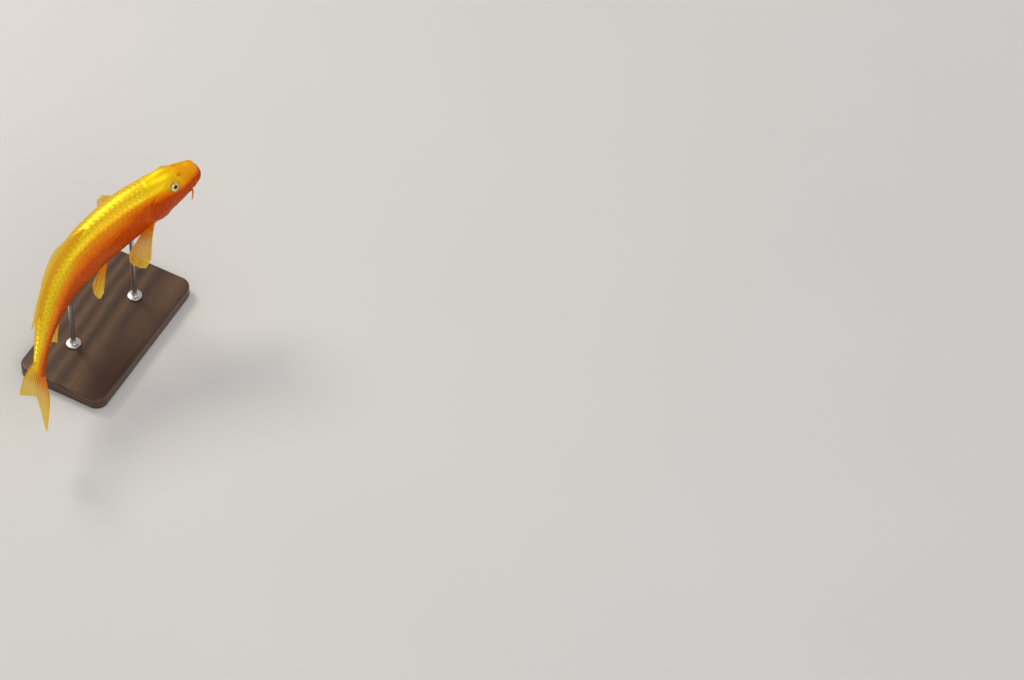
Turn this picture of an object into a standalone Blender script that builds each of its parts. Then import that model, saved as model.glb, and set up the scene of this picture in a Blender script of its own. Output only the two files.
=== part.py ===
"""A yellow ogon koi carp, life size, turning to its right with its head raised, on a plain two-rod display stand.

Units are metres. The fish is modelled in its own frame: the tip of the snout at the origin, the head pointing along +X,
the left flank towards +Y and the back towards +Z. One empty then pitches, rolls and turns the whole fish over its base.
Lengths along the body are given as shares of the standard length, from the snout (0) to the end of the flesh (1).
"""

import math

import bpy
import bmesh
import numpy as np
from mathutils import Vector

# ---------------------------------------------------------------- driving dimensions
TOTAL_LENGTH = 0.420
STANDARD = 0.830 * TOTAL_LENGTH          # snout to the end of the tail stalk
GAP = 0.0003                             # left between pieces that meet

# Body stations: place, height of the back, depth of the belly, half width, all as shares of the standard length.
STATIONS = (
    # name            at     back   belly   half
    ("snout",        0.000, 0.0375, 0.0395, 0.0305),
    ("nostril",      0.058, 0.0590, 0.0618, 0.0490),
    ("eye",          0.112, 0.0785, 0.0735, 0.0610),
    ("nape",         0.195, 0.0915, 0.0945, 0.0685),
    ("shoulder",     0.300, 0.1020, 0.1085, 0.0705),
    ("back_fin",     0.450, 0.1045, 0.1125, 0.0655),
    ("vent",         0.720, 0.0800, 0.0790, 0.0430),
    ("stalk",        0.915, 0.0475, 0.0440, 0.0220),
    ("tail_root",    1.000, 0.0524, 0.0495, 0.0125),
)
SNOUT_ROUND, SNOUT_BLUNT = 0.019, 2.8    # length over which the snout rounds off, and how squarely
FULLNESS = 0.10                          # how square the cross sections are

# How far the body has turned, in degrees, at places along it. The head is stiff and the stalk bends most.
TURN = ((0.00, 0.0), (0.22, 0.0), (0.36, 7.0), (0.50, 15.5), (0.65, 31.5), (0.80, 46.5), (0.92, 54.5), (1.02, 56.5), (1.25, 49.0))

# The pose of the whole fish over its base.
PITCH, ROLL, HEADING = 18.0, 1.5, -31.3
PLACE = (0.1872, -0.0566, 0.2150)         # where the tip of the snout is

# Parts of the body
HEAD_END, FRONT_END, REAR_END = 0.243, 0.500, 0.765
GILL_CENTRE = (0.178, -0.012)            # of the gill cover's egg-shaped outline, along and up
GILL_BACK, GILL_FRONT, GILL_TALL = 0.060, 0.044, 0.068
GILL_THICK, GILL_PROUD = 0.0035, 0.0008
EYE_AT, EYE_ANGLE = 0.111, 57.0          # along the body, and round it from the back
EYE_RADIUS, EYE_SUNK = 0.0082, 0.0055
NOSTRIL_AT, NOSTRIL_ANGLE = 0.070, 25.0
MOUTH_CORNER = 0.050                     # how far back the mouth runs
MOUTH_SLIT = 0.0010

# Fins: lengths are shares of the standard length.
DORSAL_FROM, DORSAL_TO = 0.470, 0.815
DORSAL_RAY, DORSAL_LAST_RAY = 0.128, 0.072
DORSAL_LEAN = (70.0, 77.0)               # first and last ray, from upright
ANAL_FROM, ANAL_TO = 0.745, 0.815
ANAL_RAY, ANAL_LAST_RAY = 0.115, 0.055
TAIL_LOBE, TAIL_FORK = 0.222, 0.118
TAIL_FAN = 31.0                          # degrees from the middle ray to the outer one
PECTORAL_AT, PECTORAL_ANGLE, PECTORAL_LENGTH = 0.264, 121.0, 0.172
PELVIC_AT, PELVIC_ANGLE, PELVIC_LENGTH = 0.487, 148.0, 0.132

# Stand
BASE_LONG, BASE_WIDE, BASE_THICK, BASE_CORNER = 0.230, 0.125, 0.018, 0.016
ROD_RADIUS, ROD_FOOT_RADIUS, ROD_FOOT_THICK, ROD_PAD_RADIUS = 0.0032, 0.0095, 0.0040, 0.0060
ROD_PLACES = (0.330, 0.655)              # along the body
BASE_CENTRE = (0.0467, 0.0027)


# ---------------------------------------------------------------- smooth rules
def smooth(at, places, values):
    """A curve through the values at the places that never overshoots them."""
    x, y = np.asarray(places, float), np.asarray(values, float)
    h, d = np.diff(x), np.diff(y) / np.diff(x)
    m = np.zeros(len(x))
    for i in range(1, len(x) - 1):
        if d[i - 1] * d[i] > 0:
            a, b = 2 * h[i] + h[i - 1], h[i] + 2 * h[i - 1]
            m[i] = (a + b) / (a / d[i - 1] + b / d[i])
    m[0], m[-1] = d[0], d[-1]
    t = np.clip(np.asarray(at, float), x[0], x[-1])
    i = np.clip(np.searchsorted(x, t, side="right") - 1, 0, len(x) - 2)
    s = (t - x[i]) / h[i]
    return (
        y[i] * (1 + 2 * s) * (1 - s) ** 2
        + m[i] * h[i] * s * (1 - s) ** 2
        + y[i + 1] * s * s * (3 - 2 * s)
        + m[i + 1] * h[i] * s * s * (s - 1)
    )


def step(x):
    x = np.clip(x, 0.0, 1.0)
    return x * x * (3 - 2 * x)


PLACES = [s[1] for s in STATIONS]


def rounded(t):
    """How much of its full section the snout has at t."""
    x = np.clip(1 - np.asarray(t, float) / SNOUT_ROUND, 0.0, 1.0)
    return np.maximum(1 - x**SNOUT_BLUNT, 0.0) ** (1 / SNOUT_BLUNT)


def back(t):
    return STANDARD * smooth(t, PLACES, [s[2] for s in STATIONS]) * rounded(t)


def belly(t):
    return STANDARD * smooth(t, PLACES, [s[3] for s in STATIONS]) * rounded(t)


def half(t):
    return STANDARD * smooth(t, PLACES, [s[4] for s in STATIONS]) * rounded(t)


# The spine: its turn is added up once, in fine steps, and read from then on.
_T = np.linspace(0.0, 1.30, 1301)
_A = np.radians(smooth(_T, [p[0] for p in TURN], [p[1] for p in TURN]))
_F = np.stack([np.cos(_A), np.sin(_A), 0 * _A], 1)
_C = np.zeros_like(_F)
_C[1:] = -np.cumsum((_F[1:] + _F[:-1]) / 2 * (_T[1] - _T[0]) * STANDARD, axis=0)


def spine(t):
    """(centre, forward, left) of the spine at t."""
    t = np.asarray(t, float)
    a = np.interp(t, _T, _A)
    c = np.stack([np.interp(t, _T, _C[:, k]) for k in range(3)], -1)
    zero = 0 * a
    return c, np.stack([np.cos(a), np.sin(a), zero], -1), np.stack([-np.sin(a), np.cos(a), zero], -1)


UP = np.array([0.0, 0.0, 1.0])


def section(t, angle, off=0.0):
    """(across, up) of the body's surface at t and an angle in degrees round from the back, towards the left flank."""
    a = np.radians(angle)
    s, c = np.sin(a), np.cos(a)
    across = half(t) * s * (1 + FULLNESS * c * c)
    up = np.where(c > 0, back(t), belly(t)) * c * (1 + FULLNESS * s * s)
    # The flat forehead, the full cheeks and the narrower throat.
    head = step((0.26 - t) / 0.16)
    across = across * (1 + head * (0.05 * np.maximum(-c, 0) * s * s))
    up = up - STANDARD * 0.0035 * head * np.exp(-((angle_from_back(angle) / 18.0) ** 2)) * step(t / 0.14)
    if np.any(off):
        n = np.stack([s / np.maximum(half(t), 1e-4), c / np.maximum(np.where(c > 0, back(t), belly(t)), 1e-4)], -1)
        n = n / np.linalg.norm(n, axis=-1, keepdims=True)
        across, up = across + off * n[..., 0], up + off * n[..., 1]
    return across, up


def angle_from_back(angle):
    a = np.mod(np.asarray(angle, float) + 180.0, 360.0) - 180.0
    return np.abs(a)


def place(t, across, up):
    """A point of the fish from its place along the spine, its distance to the left and its height."""
    c, _, left = spine(t)
    return c + left * np.asarray(across)[..., None] + UP * np.asarray(up)[..., None]


def lips(p):
    """How far the lips stand out at a point of the snout: a soft roll above and below the line of the mouth."""
    along, up = -p[..., 0] / STANDARD, p[..., 2] / STANDARD
    line = mouth_line(along)
    return 0.0011 * np.exp(-(((np.abs(up - line) - 0.0075) / 0.0050) ** 2)) * step((MOUTH_CORNER + 0.006 - along) / 0.012)


def mouth_line(along):
    """Height of the mouth's slit, which runs down towards its corners."""
    return -0.0130 - 0.50 * along


def surface(t, angle, off=0.0, detail=True):
    t, angle = np.broadcast_arrays(np.asarray(t, float), np.asarray(angle, float))
    p = place(t, *section(t, angle, off))
    if detail:
        q = place(t, *section(t, angle, off + 0.001))
        n = (q - p) / 0.001
        p = p + n * lips(p)[..., None]
    return p


# ---------------------------------------------------------------- scene helpers
for old in list(bpy.data.objects):
    bpy.data.objects.remove(old)

koi = bpy.data.objects.new("koi_pose", None)
bpy.context.scene.collection.objects.link(koi)
koi.rotation_mode = "XYZ"
koi.rotation_euler = (math.radians(ROLL), math.radians(-PITCH), math.radians(HEADING))
koi.location = PLACE


def material(name, colour, roughness, metallic=0.0):
    m = bpy.data.materials.new(name)
    m.use_nodes = True
    shader = m.node_tree.nodes["Principled BSDF"]
    shader.inputs["Base Color"].default_value = (*colour, 1.0)
    shader.inputs["Roughness"].default_value = roughness
    shader.inputs["Metallic"].default_value = metallic
    return m


GOLD = material("koi_skin", (0.93, 0.56, 0.02), 0.32, 0.15)
FIN = material("koi_fin", (0.95, 0.66, 0.12), 0.38)
EYE = material("koi_eye", (0.03, 0.028, 0.022), 0.06)
BARBEL = material("koi_barbel", (0.90, 0.52, 0.08), 0.40)
WOOD = material("stand_wood", (0.085, 0.045, 0.024), 0.42)
STEEL = material("stand_steel", (0.62, 0.62, 0.60), 0.28, 1.0)


def add(name, points, faces, mat, parent=koi, helper=False, sharp=40.0):
    mesh = bpy.data.meshes.new(name)
    mesh.from_pydata([tuple(float(x) for x in p) for p in points], [], faces)
    bm = bmesh.new()
    bm.from_mesh(mesh)
    bmesh.ops.recalc_face_normals(bm, faces=bm.faces)
    if bm.calc_volume(signed=True) < 0:
        bmesh.ops.reverse_faces(bm, faces=bm.faces)
    bm.to_mesh(mesh)
    bm.free()
    mesh.shade_smooth()
    mesh.set_sharp_from_angle(angle=math.radians(sharp))
    obj = bpy.data.objects.new(name, mesh)
    bpy.context.scene.collection.objects.link(obj)
    obj.parent = parent
    mesh.materials.append(mat)
    if helper:
        obj.hide_render = True
        obj.display_type = "WIRE"
    return obj


def boolean(obj, other, operation):
    m = obj.modifiers.new(operation.lower() + "_" + other.name, "BOOLEAN")
    m.operation = operation
    m.object = other
    m.solver = "EXACT"
    return m


def loft(name, stations, around, mat, off=0.0, detail=True, helper=False, nose=False):
    """A body length between the first station and the last, closed by flat ends, or by the tip of the snout if nose is set."""
    angles = np.arange(around) * 360.0 / around
    t, a = np.meshgrid(np.asarray(stations, float), angles, indexing="ij")
    grid = surface(t, a, off, detail)
    points = list(grid.reshape(-1, 3))
    faces = []
    for i in range(len(stations) - 1):
        for j in range(around):
            k = (j + 1) % around
            faces.append((i * around + j, i * around + k, (i + 1) * around + k, (i + 1) * around + j))
    if nose:
        points.append(np.array([off + 0.0002, 0.0, -0.0030]))
        tip = len(points) - 1
        faces += [(tip, (j + 1) % around, j) for j in range(around)]
    else:
        faces.append(tuple(range(around)))
    faces.append(tuple((len(stations) - 1) * around + j for j in reversed(range(around))))
    return add(name, points, faces, mat, helper=helper)


def plate(name, mid, normal, thick, mat, helper=False):
    """A closed plate about a grid of points, as thick as thick says at each."""
    nu, nv = mid.shape[:2]
    top, low = mid + normal * thick[..., None] / 2, mid - normal * thick[..., None] / 2
    points = list(top.reshape(-1, 3)) + list(low.reshape(-1, 3))
    n, faces = nu * nv, []
    for i in range(nu - 1):
        for j in range(nv - 1):
            a, b, c, d = i * nv + j, i * nv + j + 1, (i + 1) * nv + j + 1, (i + 1) * nv + j
            faces += [(a, b, c, d), (n + d, n + c, n + b, n + a)]
    rim = [(0, j) for j in range(nv)] + [(i, nv - 1) for i in range(1, nu)]
    rim += [(nu - 1, j) for j in range(nv - 2, -1, -1)] + [(i, 0) for i in range(nu - 2, 0, -1)]
    rim = [i * nv + j for i, j in rim]
    for k, a in enumerate(rim):
        b = rim[(k + 1) % len(rim)]
        faces.append((b, a, n + a, n + b))
    return add(name, points, faces, mat, helper=helper)


def grid_normals(mid):
    du = np.gradient(mid, axis=0)
    dv = np.gradient(mid, axis=1)
    n = np.cross(du, dv)
    return n / np.maximum(np.linalg.norm(n, axis=-1, keepdims=True), 1e-12)


# ---------------------------------------------------------------- the body
def spaced(a, b, count, bias=1.0):
    return a + (b - a) * np.linspace(0, 1, count) ** bias


gap_t = GAP / STANDARD
head_stations = np.concatenate([[0.0012, 0.004, 0.009, 0.016, 0.024], spaced(0.034, HEAD_END, 14)])
AROUND = 32
head = loft("head", head_stations, AROUND, GOLD, nose=True)
trunk_front = loft("trunk_front", spaced(HEAD_END + gap_t, FRONT_END - gap_t / 2, 10), AROUND, GOLD)
trunk_rear = loft("trunk_rear", spaced(FRONT_END + gap_t / 2, REAR_END - gap_t / 2, 10), AROUND, GOLD)
tail_stalk = loft("tail_stalk", spaced(REAR_END + gap_t / 2, 1.0, 9), 24, GOLD)

# The gill covers: each is the part of a slightly fuller head that lies inside an egg-shaped outline seen from the side,
# a few millimetres thick. The head is cut back by the same shape with a gap.
cover_stations = spaced(0.115, 0.262, 10)


def egg(name, side, grow):
    """A prism across the fish whose outline is the gill cover's, on one side."""
    ring = []
    for k in range(32):
        a = 2 * math.pi * k / 32
        along = GILL_BACK if math.cos(a) > 0 else GILL_FRONT
        reach = (1.0 - 0.10 * max(0.0, math.cos(a)) * abs(math.sin(2 * a)))
        ring.append((-(GILL_CENTRE[0] * STANDARD + (along * STANDARD * reach + grow) * math.cos(a)), GILL_CENTRE[1] * STANDARD + (GILL_TALL * STANDARD + grow) * math.sin(a)))
    inner, outer = 0.004, 0.045
    points = [(x, side * inner, z) for x, z in ring] + [(x, side * outer, z) for x, z in ring]
    n = len(ring)
    faces = [tuple(range(n)), tuple(reversed(range(n, 2 * n)))]
    faces += [(k, (k + 1) % n, n + (k + 1) % n, n + k) for k in range(n)]
    return add(name, points, faces, GOLD, helper=True)


core = loft("guide_core", cover_stations, AROUND, GOLD, off=-GILL_THICK, helper=True)
core_small = loft("guide_core_small", cover_stations, AROUND, GOLD, off=-GILL_THICK - GAP, helper=True)
fuller = loft("guide_fuller", cover_stations, AROUND, GOLD, off=GILL_PROUD, helper=True)
covers = []
for side, word in ((1, "left"), (-1, "right")):
    room = egg("guide_room_" + word, side, GAP)
    boolean(room, core_small, "DIFFERENCE")
    boolean(head, room, "DIFFERENCE")
    outline = egg("gill_cover_" + word, side, 0.0)
    outline.hide_render = False
    outline.display_type = "TEXTURED"
    boolean(outline, fuller, "INTERSECT")
    boolean(outline, core, "DIFFERENCE")
    covers.append(outline)
# The cover's hind edge passes the head's end, so the trunk gives way to it too.
for word in ("left", "right"):
    boolean(trunk_front, bpy.data.objects["guide_room_" + word], "DIFFERENCE")

# The eyes: a ball in a round socket on each side.
def eye_frame(side):
    a = side * EYE_ANGLE
    p = surface(np.array(EYE_AT), np.array(a), 0.0, False)
    q = surface(np.array(EYE_AT), np.array(a), 0.001, False)
    r = surface(np.array(EYE_AT + 0.004), np.array(a), 0.0, False)
    n = (q - p) / np.linalg.norm(q - p)
    back_way = (r - p) / np.linalg.norm(r - p)
    n = n - back_way * float(n @ back_way)
    n = n / np.linalg.norm(n)
    return p, n


def ball(name, centre, axis, radius, mat, helper=False, flat=0.0, segments=20, rings=10):
    """A ball whose pole is on axis. flat cuts its back off, as a share of its radius from the centre."""
    bm = bmesh.new()
    bmesh.ops.create_uvsphere(bm, u_segments=segments, v_segments=rings, radius=radius)
    if flat:
        cut = bmesh.ops.bisect_plane(bm, geom=bm.verts[:] + bm.edges[:] + bm.faces[:], plane_co=(0, 0, -flat * radius), plane_no=(0, 0, -1), clear_outer=True)
        bmesh.ops.holes_fill(bm, edges=[e for e in bm.edges if e.is_boundary])
    turn = Vector((0, 0, 1)).rotation_difference(Vector(axis))
    for v in bm.verts:
        v.co = turn @ v.co + Vector(centre)
    mesh = bpy.data.meshes.new(name)
    bmesh.ops.recalc_face_normals(bm, faces=bm.faces)
    bm.to_mesh(mesh)
    bm.free()
    mesh.shade_smooth()
    obj = bpy.data.objects.new(name, mesh)
    bpy.context.scene.collection.objects.link(obj)
    obj.parent = koi
    mesh.materials.append(mat)
    if helper:
        obj.hide_render, obj.display_type = True, "WIRE"
    return obj


for side, word in ((1, "left"), (-1, "right")):
    p, n = eye_frame(side)
    centre = p - n * EYE_SUNK
    ball("eye_" + word, centre, n, EYE_RADIUS, EYE, flat=0.30)
    socket = ball("guide_socket_" + word, centre, n, EYE_RADIUS + 0.0005, EYE, helper=True, flat=0.34)
    boolean(head, socket, "DIFFERENCE")

# The mouth: one thin slot along the slope of the lips, open at the front and ending at the corners.
slot_back, slot_front = -(MOUTH_CORNER) * STANDARD, 0.004
corner_wide = 0.040 * STANDARD
ring = []
for k in range(24):
    a = math.pi * k / 23
    ring.append((slot_back + 0.0035 * (1 - math.sin(a)), corner_wide * math.cos(a)))
ring = [(slot_front, corner_wide)] + ring + [(slot_front, -corner_wide)]
points = []
for up in (-MOUTH_SLIT / 2, MOUTH_SLIT / 2):
    for x, y in ring:
        points.append((x, y, STANDARD * float(mouth_line(-x / STANDARD)) + up))
n = len(ring)
faces = [tuple(range(n)), tuple(reversed(range(n, 2 * n)))] + [(k, (k + 1) % n, n + (k + 1) % n, n + k) for k in range(n)]
mouth = add("guide_mouth", points, faces, GOLD, helper=True)
boolean(head, mouth, "DIFFERENCE")

# The nostrils: a small round pit on each side between the eye and the lip.
for side, word in ((1, "left"), (-1, "right")):
    p = surface(np.array(NOSTRIL_AT), np.array(side * NOSTRIL_ANGLE), 0.0, False)
    q = surface(np.array(NOSTRIL_AT), np.array(side * NOSTRIL_ANGLE), 0.001, False)
    n = (q - p) / np.linalg.norm(q - p)
    pit = ball("guide_nostril_" + word, p + n * 0.0002, n, 0.0015, GOLD, helper=True, segments=10, rings=6)
    boolean(head, pit, "DIFFERENCE")

# ---------------------------------------------------------------- the fins
whole_stations = np.concatenate([[0.0012, 0.004, 0.009, 0.016, 0.024], spaced(0.034, 1.0, 44)])
clearance = loft("guide_clearance", whole_stations, AROUND, GOLD, off=GAP + 0.0002, helper=True, nose=True)


def median_fin(name, start, end, first, last, lean, side, rows, columns, hollow, drift):
    """The fin on the back (side 1) or under the stalk (side -1): rays from a root line, leaning back, with a hollow margin."""
    r = np.linspace(0, 1, columns)
    u = np.linspace(0, 1, rows)
    root = start + (end - start) * r
    length = STANDARD * (first + (last - first) * (1 - (1 - r) ** hollow))
    length = length * (0.80 + 0.20 * step(r / 0.05)) * (1.0 + 0.16 * step((r - 0.86) / 0.14))
    tilt = np.radians(lean[0] + (lean[1] - lean[0]) * r)
    sink = 0.004
    edge = np.where(side > 0, back(root), belly(root))
    reach = -sink + (length[None, :] + sink) * u[:, None]
    t = root[None, :] + reach * np.sin(tilt)[None, :] / STANDARD * (0.9 + 0.1 * u[:, None])
    up = side * (edge[None, :] + reach * np.cos(tilt)[None, :])
    across = drift * (np.maximum(reach, 0) / (first * STANDARD)) ** 1.6 * (0.4 + 0.6 * r[None, :])
    mid = place(t, across, up)
    thick = 0.0030 * np.exp(-np.maximum(reach, 0) / 0.006) + 0.0009 - 0.0002 * u[:, None] + 0.0009 * np.exp(-((r[None, :] / 0.05) ** 2)) * (1 - 0.5 * u[:, None])
    return plate(name, mid, grid_normals(mid), thick, FIN)


dorsal = median_fin("fin_dorsal", DORSAL_FROM, DORSAL_TO, DORSAL_RAY, DORSAL_LAST_RAY, DORSAL_LEAN, 1, 6, 17, 2.6, 0.010)
boolean(dorsal, clearance, "DIFFERENCE")
anal = median_fin("fin_anal", ANAL_FROM, ANAL_TO, ANAL_RAY, ANAL_LAST_RAY, (42.0, 62.0), -1, 7, 9, 1.7, 0.006)
boolean(anal, clearance, "DIFFERENCE")


def tail_fin(name, rows, columns):
    """The forked tail: rays fan from the stalk's flat end, which the fin's thick root continues."""
    r = np.sin(np.pi / 2 * np.linspace(-1, 1, columns))
    u = np.concatenate([[0.0], np.linspace(0, 1, rows)[1:] ** 1.25])
    length = STANDARD * (TAIL_FORK + (TAIL_LOBE - TAIL_FORK) * np.abs(r) ** 1.25) * (1 - 0.26 * step((np.abs(r) - 0.86) / 0.14))
    fan = np.radians(TAIL_FAN) * np.sign(r) * np.abs(r) ** 0.9
    tall = np.where(r > 0, back(1.0), belly(1.0)) * (1 + 0.0 * r)
    root_up = tall * np.sin(np.radians(90) * r) * 0.995
    curl = 1.0 + 0.10 * u[:, None]
    along = length[None, :] * u[:, None] * np.cos(fan * 1.0)[None, :]
    up = root_up[None, :] + length[None, :] * u[:, None] * np.sin(fan)[None, :] * curl
    t = 1.0 + gap_t + along / STANDARD
    across = 0.004 * np.sin(np.pi * u[:, None]) * r[None, :]
    mid = place(t, across, up)
    _, _, left = spine(t)
    wide, _ = section(np.full_like(root_up, 1.0), np.degrees(np.arccos(np.clip(r, -1, 1))))
    root_thick = 2 * np.maximum(wide, 0.0006)
    fade = np.exp(-((along / 0.011) ** 1.5))
    thick = (root_thick[None, :] - 0.0011) * fade + 0.0011 - 0.0003 * u[:, None]
    return plate(name, mid, left, thick, FIN)


tail_fin("fin_tail", 7, 21)


def frame_at(t, angle):
    p = surface(np.array(t), np.array(angle), 0.0, False)
    q = surface(np.array(t), np.array(angle), 0.001, False)
    r = surface(np.array(t + 0.004), np.array(angle), 0.0, False)
    n = (q - p) / np.linalg.norm(q - p)
    rear = (r - p) / np.linalg.norm(r - p)
    down = np.cross(rear, n)
    down = down / np.linalg.norm(down)
    return p, n, rear, down * (-1 if down[2] > 0 else 1)


def paired_fin(name, t, angle, length, side, out, droop, lay, fan, root_wide, rows, columns, short, apart):
    """A paddle-shaped fin: its rays fan from a short root, the leading ray stiffest and longest.

    out and droop are the leading ray's degrees away from the body and below the level; lay is how far the root line
    runs down as it runs back; fan is the angle between the leading ray and the last, which stays apart degrees clear of
    the root line.
    """
    p, n, rear, down = frame_at(t, side * angle)
    _, forward, left = spine(np.array(t))
    outward, flat = side * left, -forward
    o, d = math.radians(out), math.radians(droop)
    lead = flat * math.cos(o) + (outward * math.cos(d) - UP * math.sin(d)) * math.sin(o)
    line = rear + down * lay
    line = line / np.linalg.norm(line)
    inner = line - lead * float(line @ lead)
    inner = inner / np.linalg.norm(inner)
    curve = np.cross(lead, inner)
    curve = curve * (1 if curve[2] > 0 else -1)
    r = np.linspace(0, 1, columns)
    u = np.linspace(0, 1, rows)
    size = STANDARD * length * (1 - short * r**1.7) * (0.86 + 0.14 * step(r / 0.16)) * (1 - 0.10 * step((r - 0.80) / 0.20))
    sink = 0.0035
    reach = -sink + (size[None, :] + sink) * (u**1.2)[:, None]
    root = p + line * ((r - 0.45) * root_wide)[:, None]
    # The last ray stays clear of the root line, so that neighbouring rays never cross inside the body.
    span = min(math.radians(fan), math.acos(float(lead @ line)) - math.radians(apart)) * r
    way = lead * np.cos(span)[:, None] + inner * np.sin(span)[:, None]
    mid = root[None, :, :] + way[None, :, :] * reach[..., None]
    mid = mid - curve * (0.11 * np.maximum(reach, 0) ** 2 / (STANDARD * length))[..., None]
    mid = mid + curve * (0.10 * (r[None, :] - 0.45) ** 2 * np.maximum(reach, 0))[..., None]
    thick = 0.0024 * np.exp(-np.maximum(reach, 0) / 0.007) + 0.0010 - 0.0003 * u[:, None] + 0.0009 * np.exp(-((r[None, :] / 0.10) ** 2)) * (1 - 0.6 * u[:, None])
    return plate(name, mid, grid_normals(mid), thick, FIN)


for side, word in ((1, "left"), (-1, "right")):
    fin = paired_fin("fin_pectoral_" + word, PECTORAL_AT, PECTORAL_ANGLE, PECTORAL_LENGTH, side, 50.0, 4.0, 0.30, 40.0, 0.020, 7, 11, 0.38, 18.0)
    boolean(fin, clearance, "DIFFERENCE")
    fin = paired_fin("fin_pelvic_" + word, PELVIC_AT, PELVIC_ANGLE, PELVIC_LENGTH, side, 36.0, 32.0, 0.25, 34.0, 0.011, 6, 9, 0.50, 24.0)
    boolean(fin, clearance, "DIFFERENCE")


# ---------------------------------------------------------------- the barbels
def barbel(name, t, angle, side, length, radius, rings=9, around=8):
    """A soft tapering feeler that leaves the lip square to it and trails down and back."""
    p = surface(np.array(t), np.array(side * angle))
    _, n, rear, down = frame_at(t, side * angle)
    s = np.linspace(0, 1, rings)[:, None]
    path = p - n * 0.0015 + n * length * (0.62 * s - 0.34 * s * s) + (rear * 0.62 - UP * 0.78) * length * (0.10 * s + 0.72 * s * s)
    way = np.gradient(path, axis=0)
    way = way / np.linalg.norm(way, axis=1, keepdims=True)
    one = np.cross(way, n + rear * 0.3 + down * 0.9)
    one = one / np.linalg.norm(one, axis=1, keepdims=True)
    two = np.cross(way, one)
    size = radius * (1.0 - 0.50 * s**1.4)
    turn = np.arange(around) * 2 * math.pi / around
    grid = path[:, None, :] + size[:, :, None] * (one[:, None, :] * np.cos(turn)[None, :, None] + two[:, None, :] * np.sin(turn)[None, :, None])
    faces = [tuple(range(around)), tuple((rings - 1) * around + j for j in reversed(range(around)))]
    for i in range(rings - 1):
        for j in range(around):
            k = (j + 1) % around
            faces.append((i * around + j, i * around + k, (i + 1) * around + k, (i + 1) * around + j))
    obj = add(name, list(grid.reshape(-1, 3)), faces, BARBEL)
    boolean(obj, clearance, "DIFFERENCE")
    return obj


for side, word in ((1, "left"), (-1, "right")):
    barbel("barbel_upper_" + word, 0.026, 84.0, side, 0.0095, 0.0010)
    barbel("barbel_corner_" + word, 0.058, 112.0, side, 0.0185, 0.0014)

# ---------------------------------------------------------------- the stand
bpy.context.view_layer.update()
pose = np.array(koi.matrix_world)


def in_room(p):
    return pose[:3, :3] @ np.asarray(p) + pose[:3, 3]


bm = bmesh.new()
corner_steps = 8
ring = []
for cx, cy, start in ((1, 1, 0), (-1, 1, 90), (-1, -1, 180), (1, -1, 270)):
    for k in range(corner_steps + 1):
        a = math.radians(start + 90 * k / corner_steps)
        ring.append((cx * (BASE_LONG / 2 - BASE_CORNER) + BASE_CORNER * math.cos(a), cy * (BASE_WIDE / 2 - BASE_CORNER) + BASE_CORNER * math.sin(a)))
low = [bm.verts.new((x, y, 0.0)) for x, y in ring]
foot = bm.faces.new(low)
made = bmesh.ops.extrude_face_region(bm, geom=[foot])
bmesh.ops.translate(bm, vec=(0, 0, BASE_THICK), verts=[v for v in made["geom"] if isinstance(v, bmesh.types.BMVert)])
bmesh.ops.recalc_face_normals(bm, faces=bm.faces)
mesh = bpy.data.meshes.new("stand_base")
bm.to_mesh(mesh)
bm.free()
base = bpy.data.objects.new("stand_base", mesh)
bpy.context.scene.collection.objects.link(base)
base.location = (BASE_CENTRE[0], BASE_CENTRE[1], 0.0)
mesh.materials.append(WOOD)
edge = base.modifiers.new("edge", "BEVEL")
edge.width, edge.segments, edge.limit_method, edge.angle_limit = 0.0025, 2, "ANGLE", math.radians(60)


def rod(name, t):
    """A turned rod: a round foot on the base, a slim shank, and a small pad whose top slopes with the belly above it."""

    def under(dt, da):
        return np.array(in_room(surface(np.array(t + dt), np.array(180.0 + da), 0.0, False)))

    x, y = under(0.0, 0.0)[:2]
    facing = np.cross(under(0.01, 0.0) - under(-0.01, 0.0), under(0.0, 8.0) - under(0.0, -8.0))
    slope = -facing[:2] / facing[2]

    def rise(px, py):
        return slope[0] * (px - x) + slope[1] * (py - y)

    bottom = BASE_THICK + GAP
    # The pad's sloping top stops where the belly above it comes closest.
    near = [under(dt, da) for dt in np.linspace(-1, 1, 5) * ROD_PAD_RADIUS * 1.3 / STANDARD for da in np.linspace(-16, 16, 5)]
    top = min(p[2] - rise(p[0], p[1]) for p in near) - GAP
    profile = [
        (ROD_FOOT_RADIUS, bottom, 0),
        (ROD_FOOT_RADIUS, bottom + ROD_FOOT_THICK * 0.6, 0),
        (ROD_FOOT_RADIUS * 0.75, bottom + ROD_FOOT_THICK, 0),
        (ROD_RADIUS, bottom + ROD_FOOT_THICK * 1.3, 0),
        (ROD_RADIUS, top - 0.0060, 0),
        (ROD_PAD_RADIUS, top - 0.0018, 1),
        (ROD_PAD_RADIUS, top, 1),
    ]
    around, points, faces = 16, [], []
    for radius, z, sloped in profile:
        for k in range(around):
            a = 2 * math.pi * k / around
            px, py = x + radius * math.cos(a), y + radius * math.sin(a)
            points.append((px, py, z + sloped * rise(px, py)))
    for i in range(len(profile) - 1):
        for j in range(around):
            k = (j + 1) % around
            faces.append((i * around + j, i * around + k, (i + 1) * around + k, (i + 1) * around + j))
    faces += [tuple(reversed(range(around))), tuple((len(profile) - 1) * around + j for j in range(around))]
    obj = add(name, points, faces, STEEL, parent=None, sharp=35.0)
    return obj, (x, y, top)


rod("stand_rod_front", ROD_PLACES[0])
rod("stand_rod_rear", ROD_PLACES[1])
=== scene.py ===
"""The looks of a yellow ogon koi carp on its display stand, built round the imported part.

The skin is one mesh: the body as a fine loft with the head's relief, the gill covers' free plates, the rims of the eyes,
the barbels and the fins with their rays. The scales are solid plates over it. The same shape rules as the part's own
place everything, in metres, in the fish's frame: the tip of the snout at the origin, +X forward, +Y the left flank.
"""

import math

import bpy
import numpy as np
from mathutils import Euler, Matrix, Vector


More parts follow.
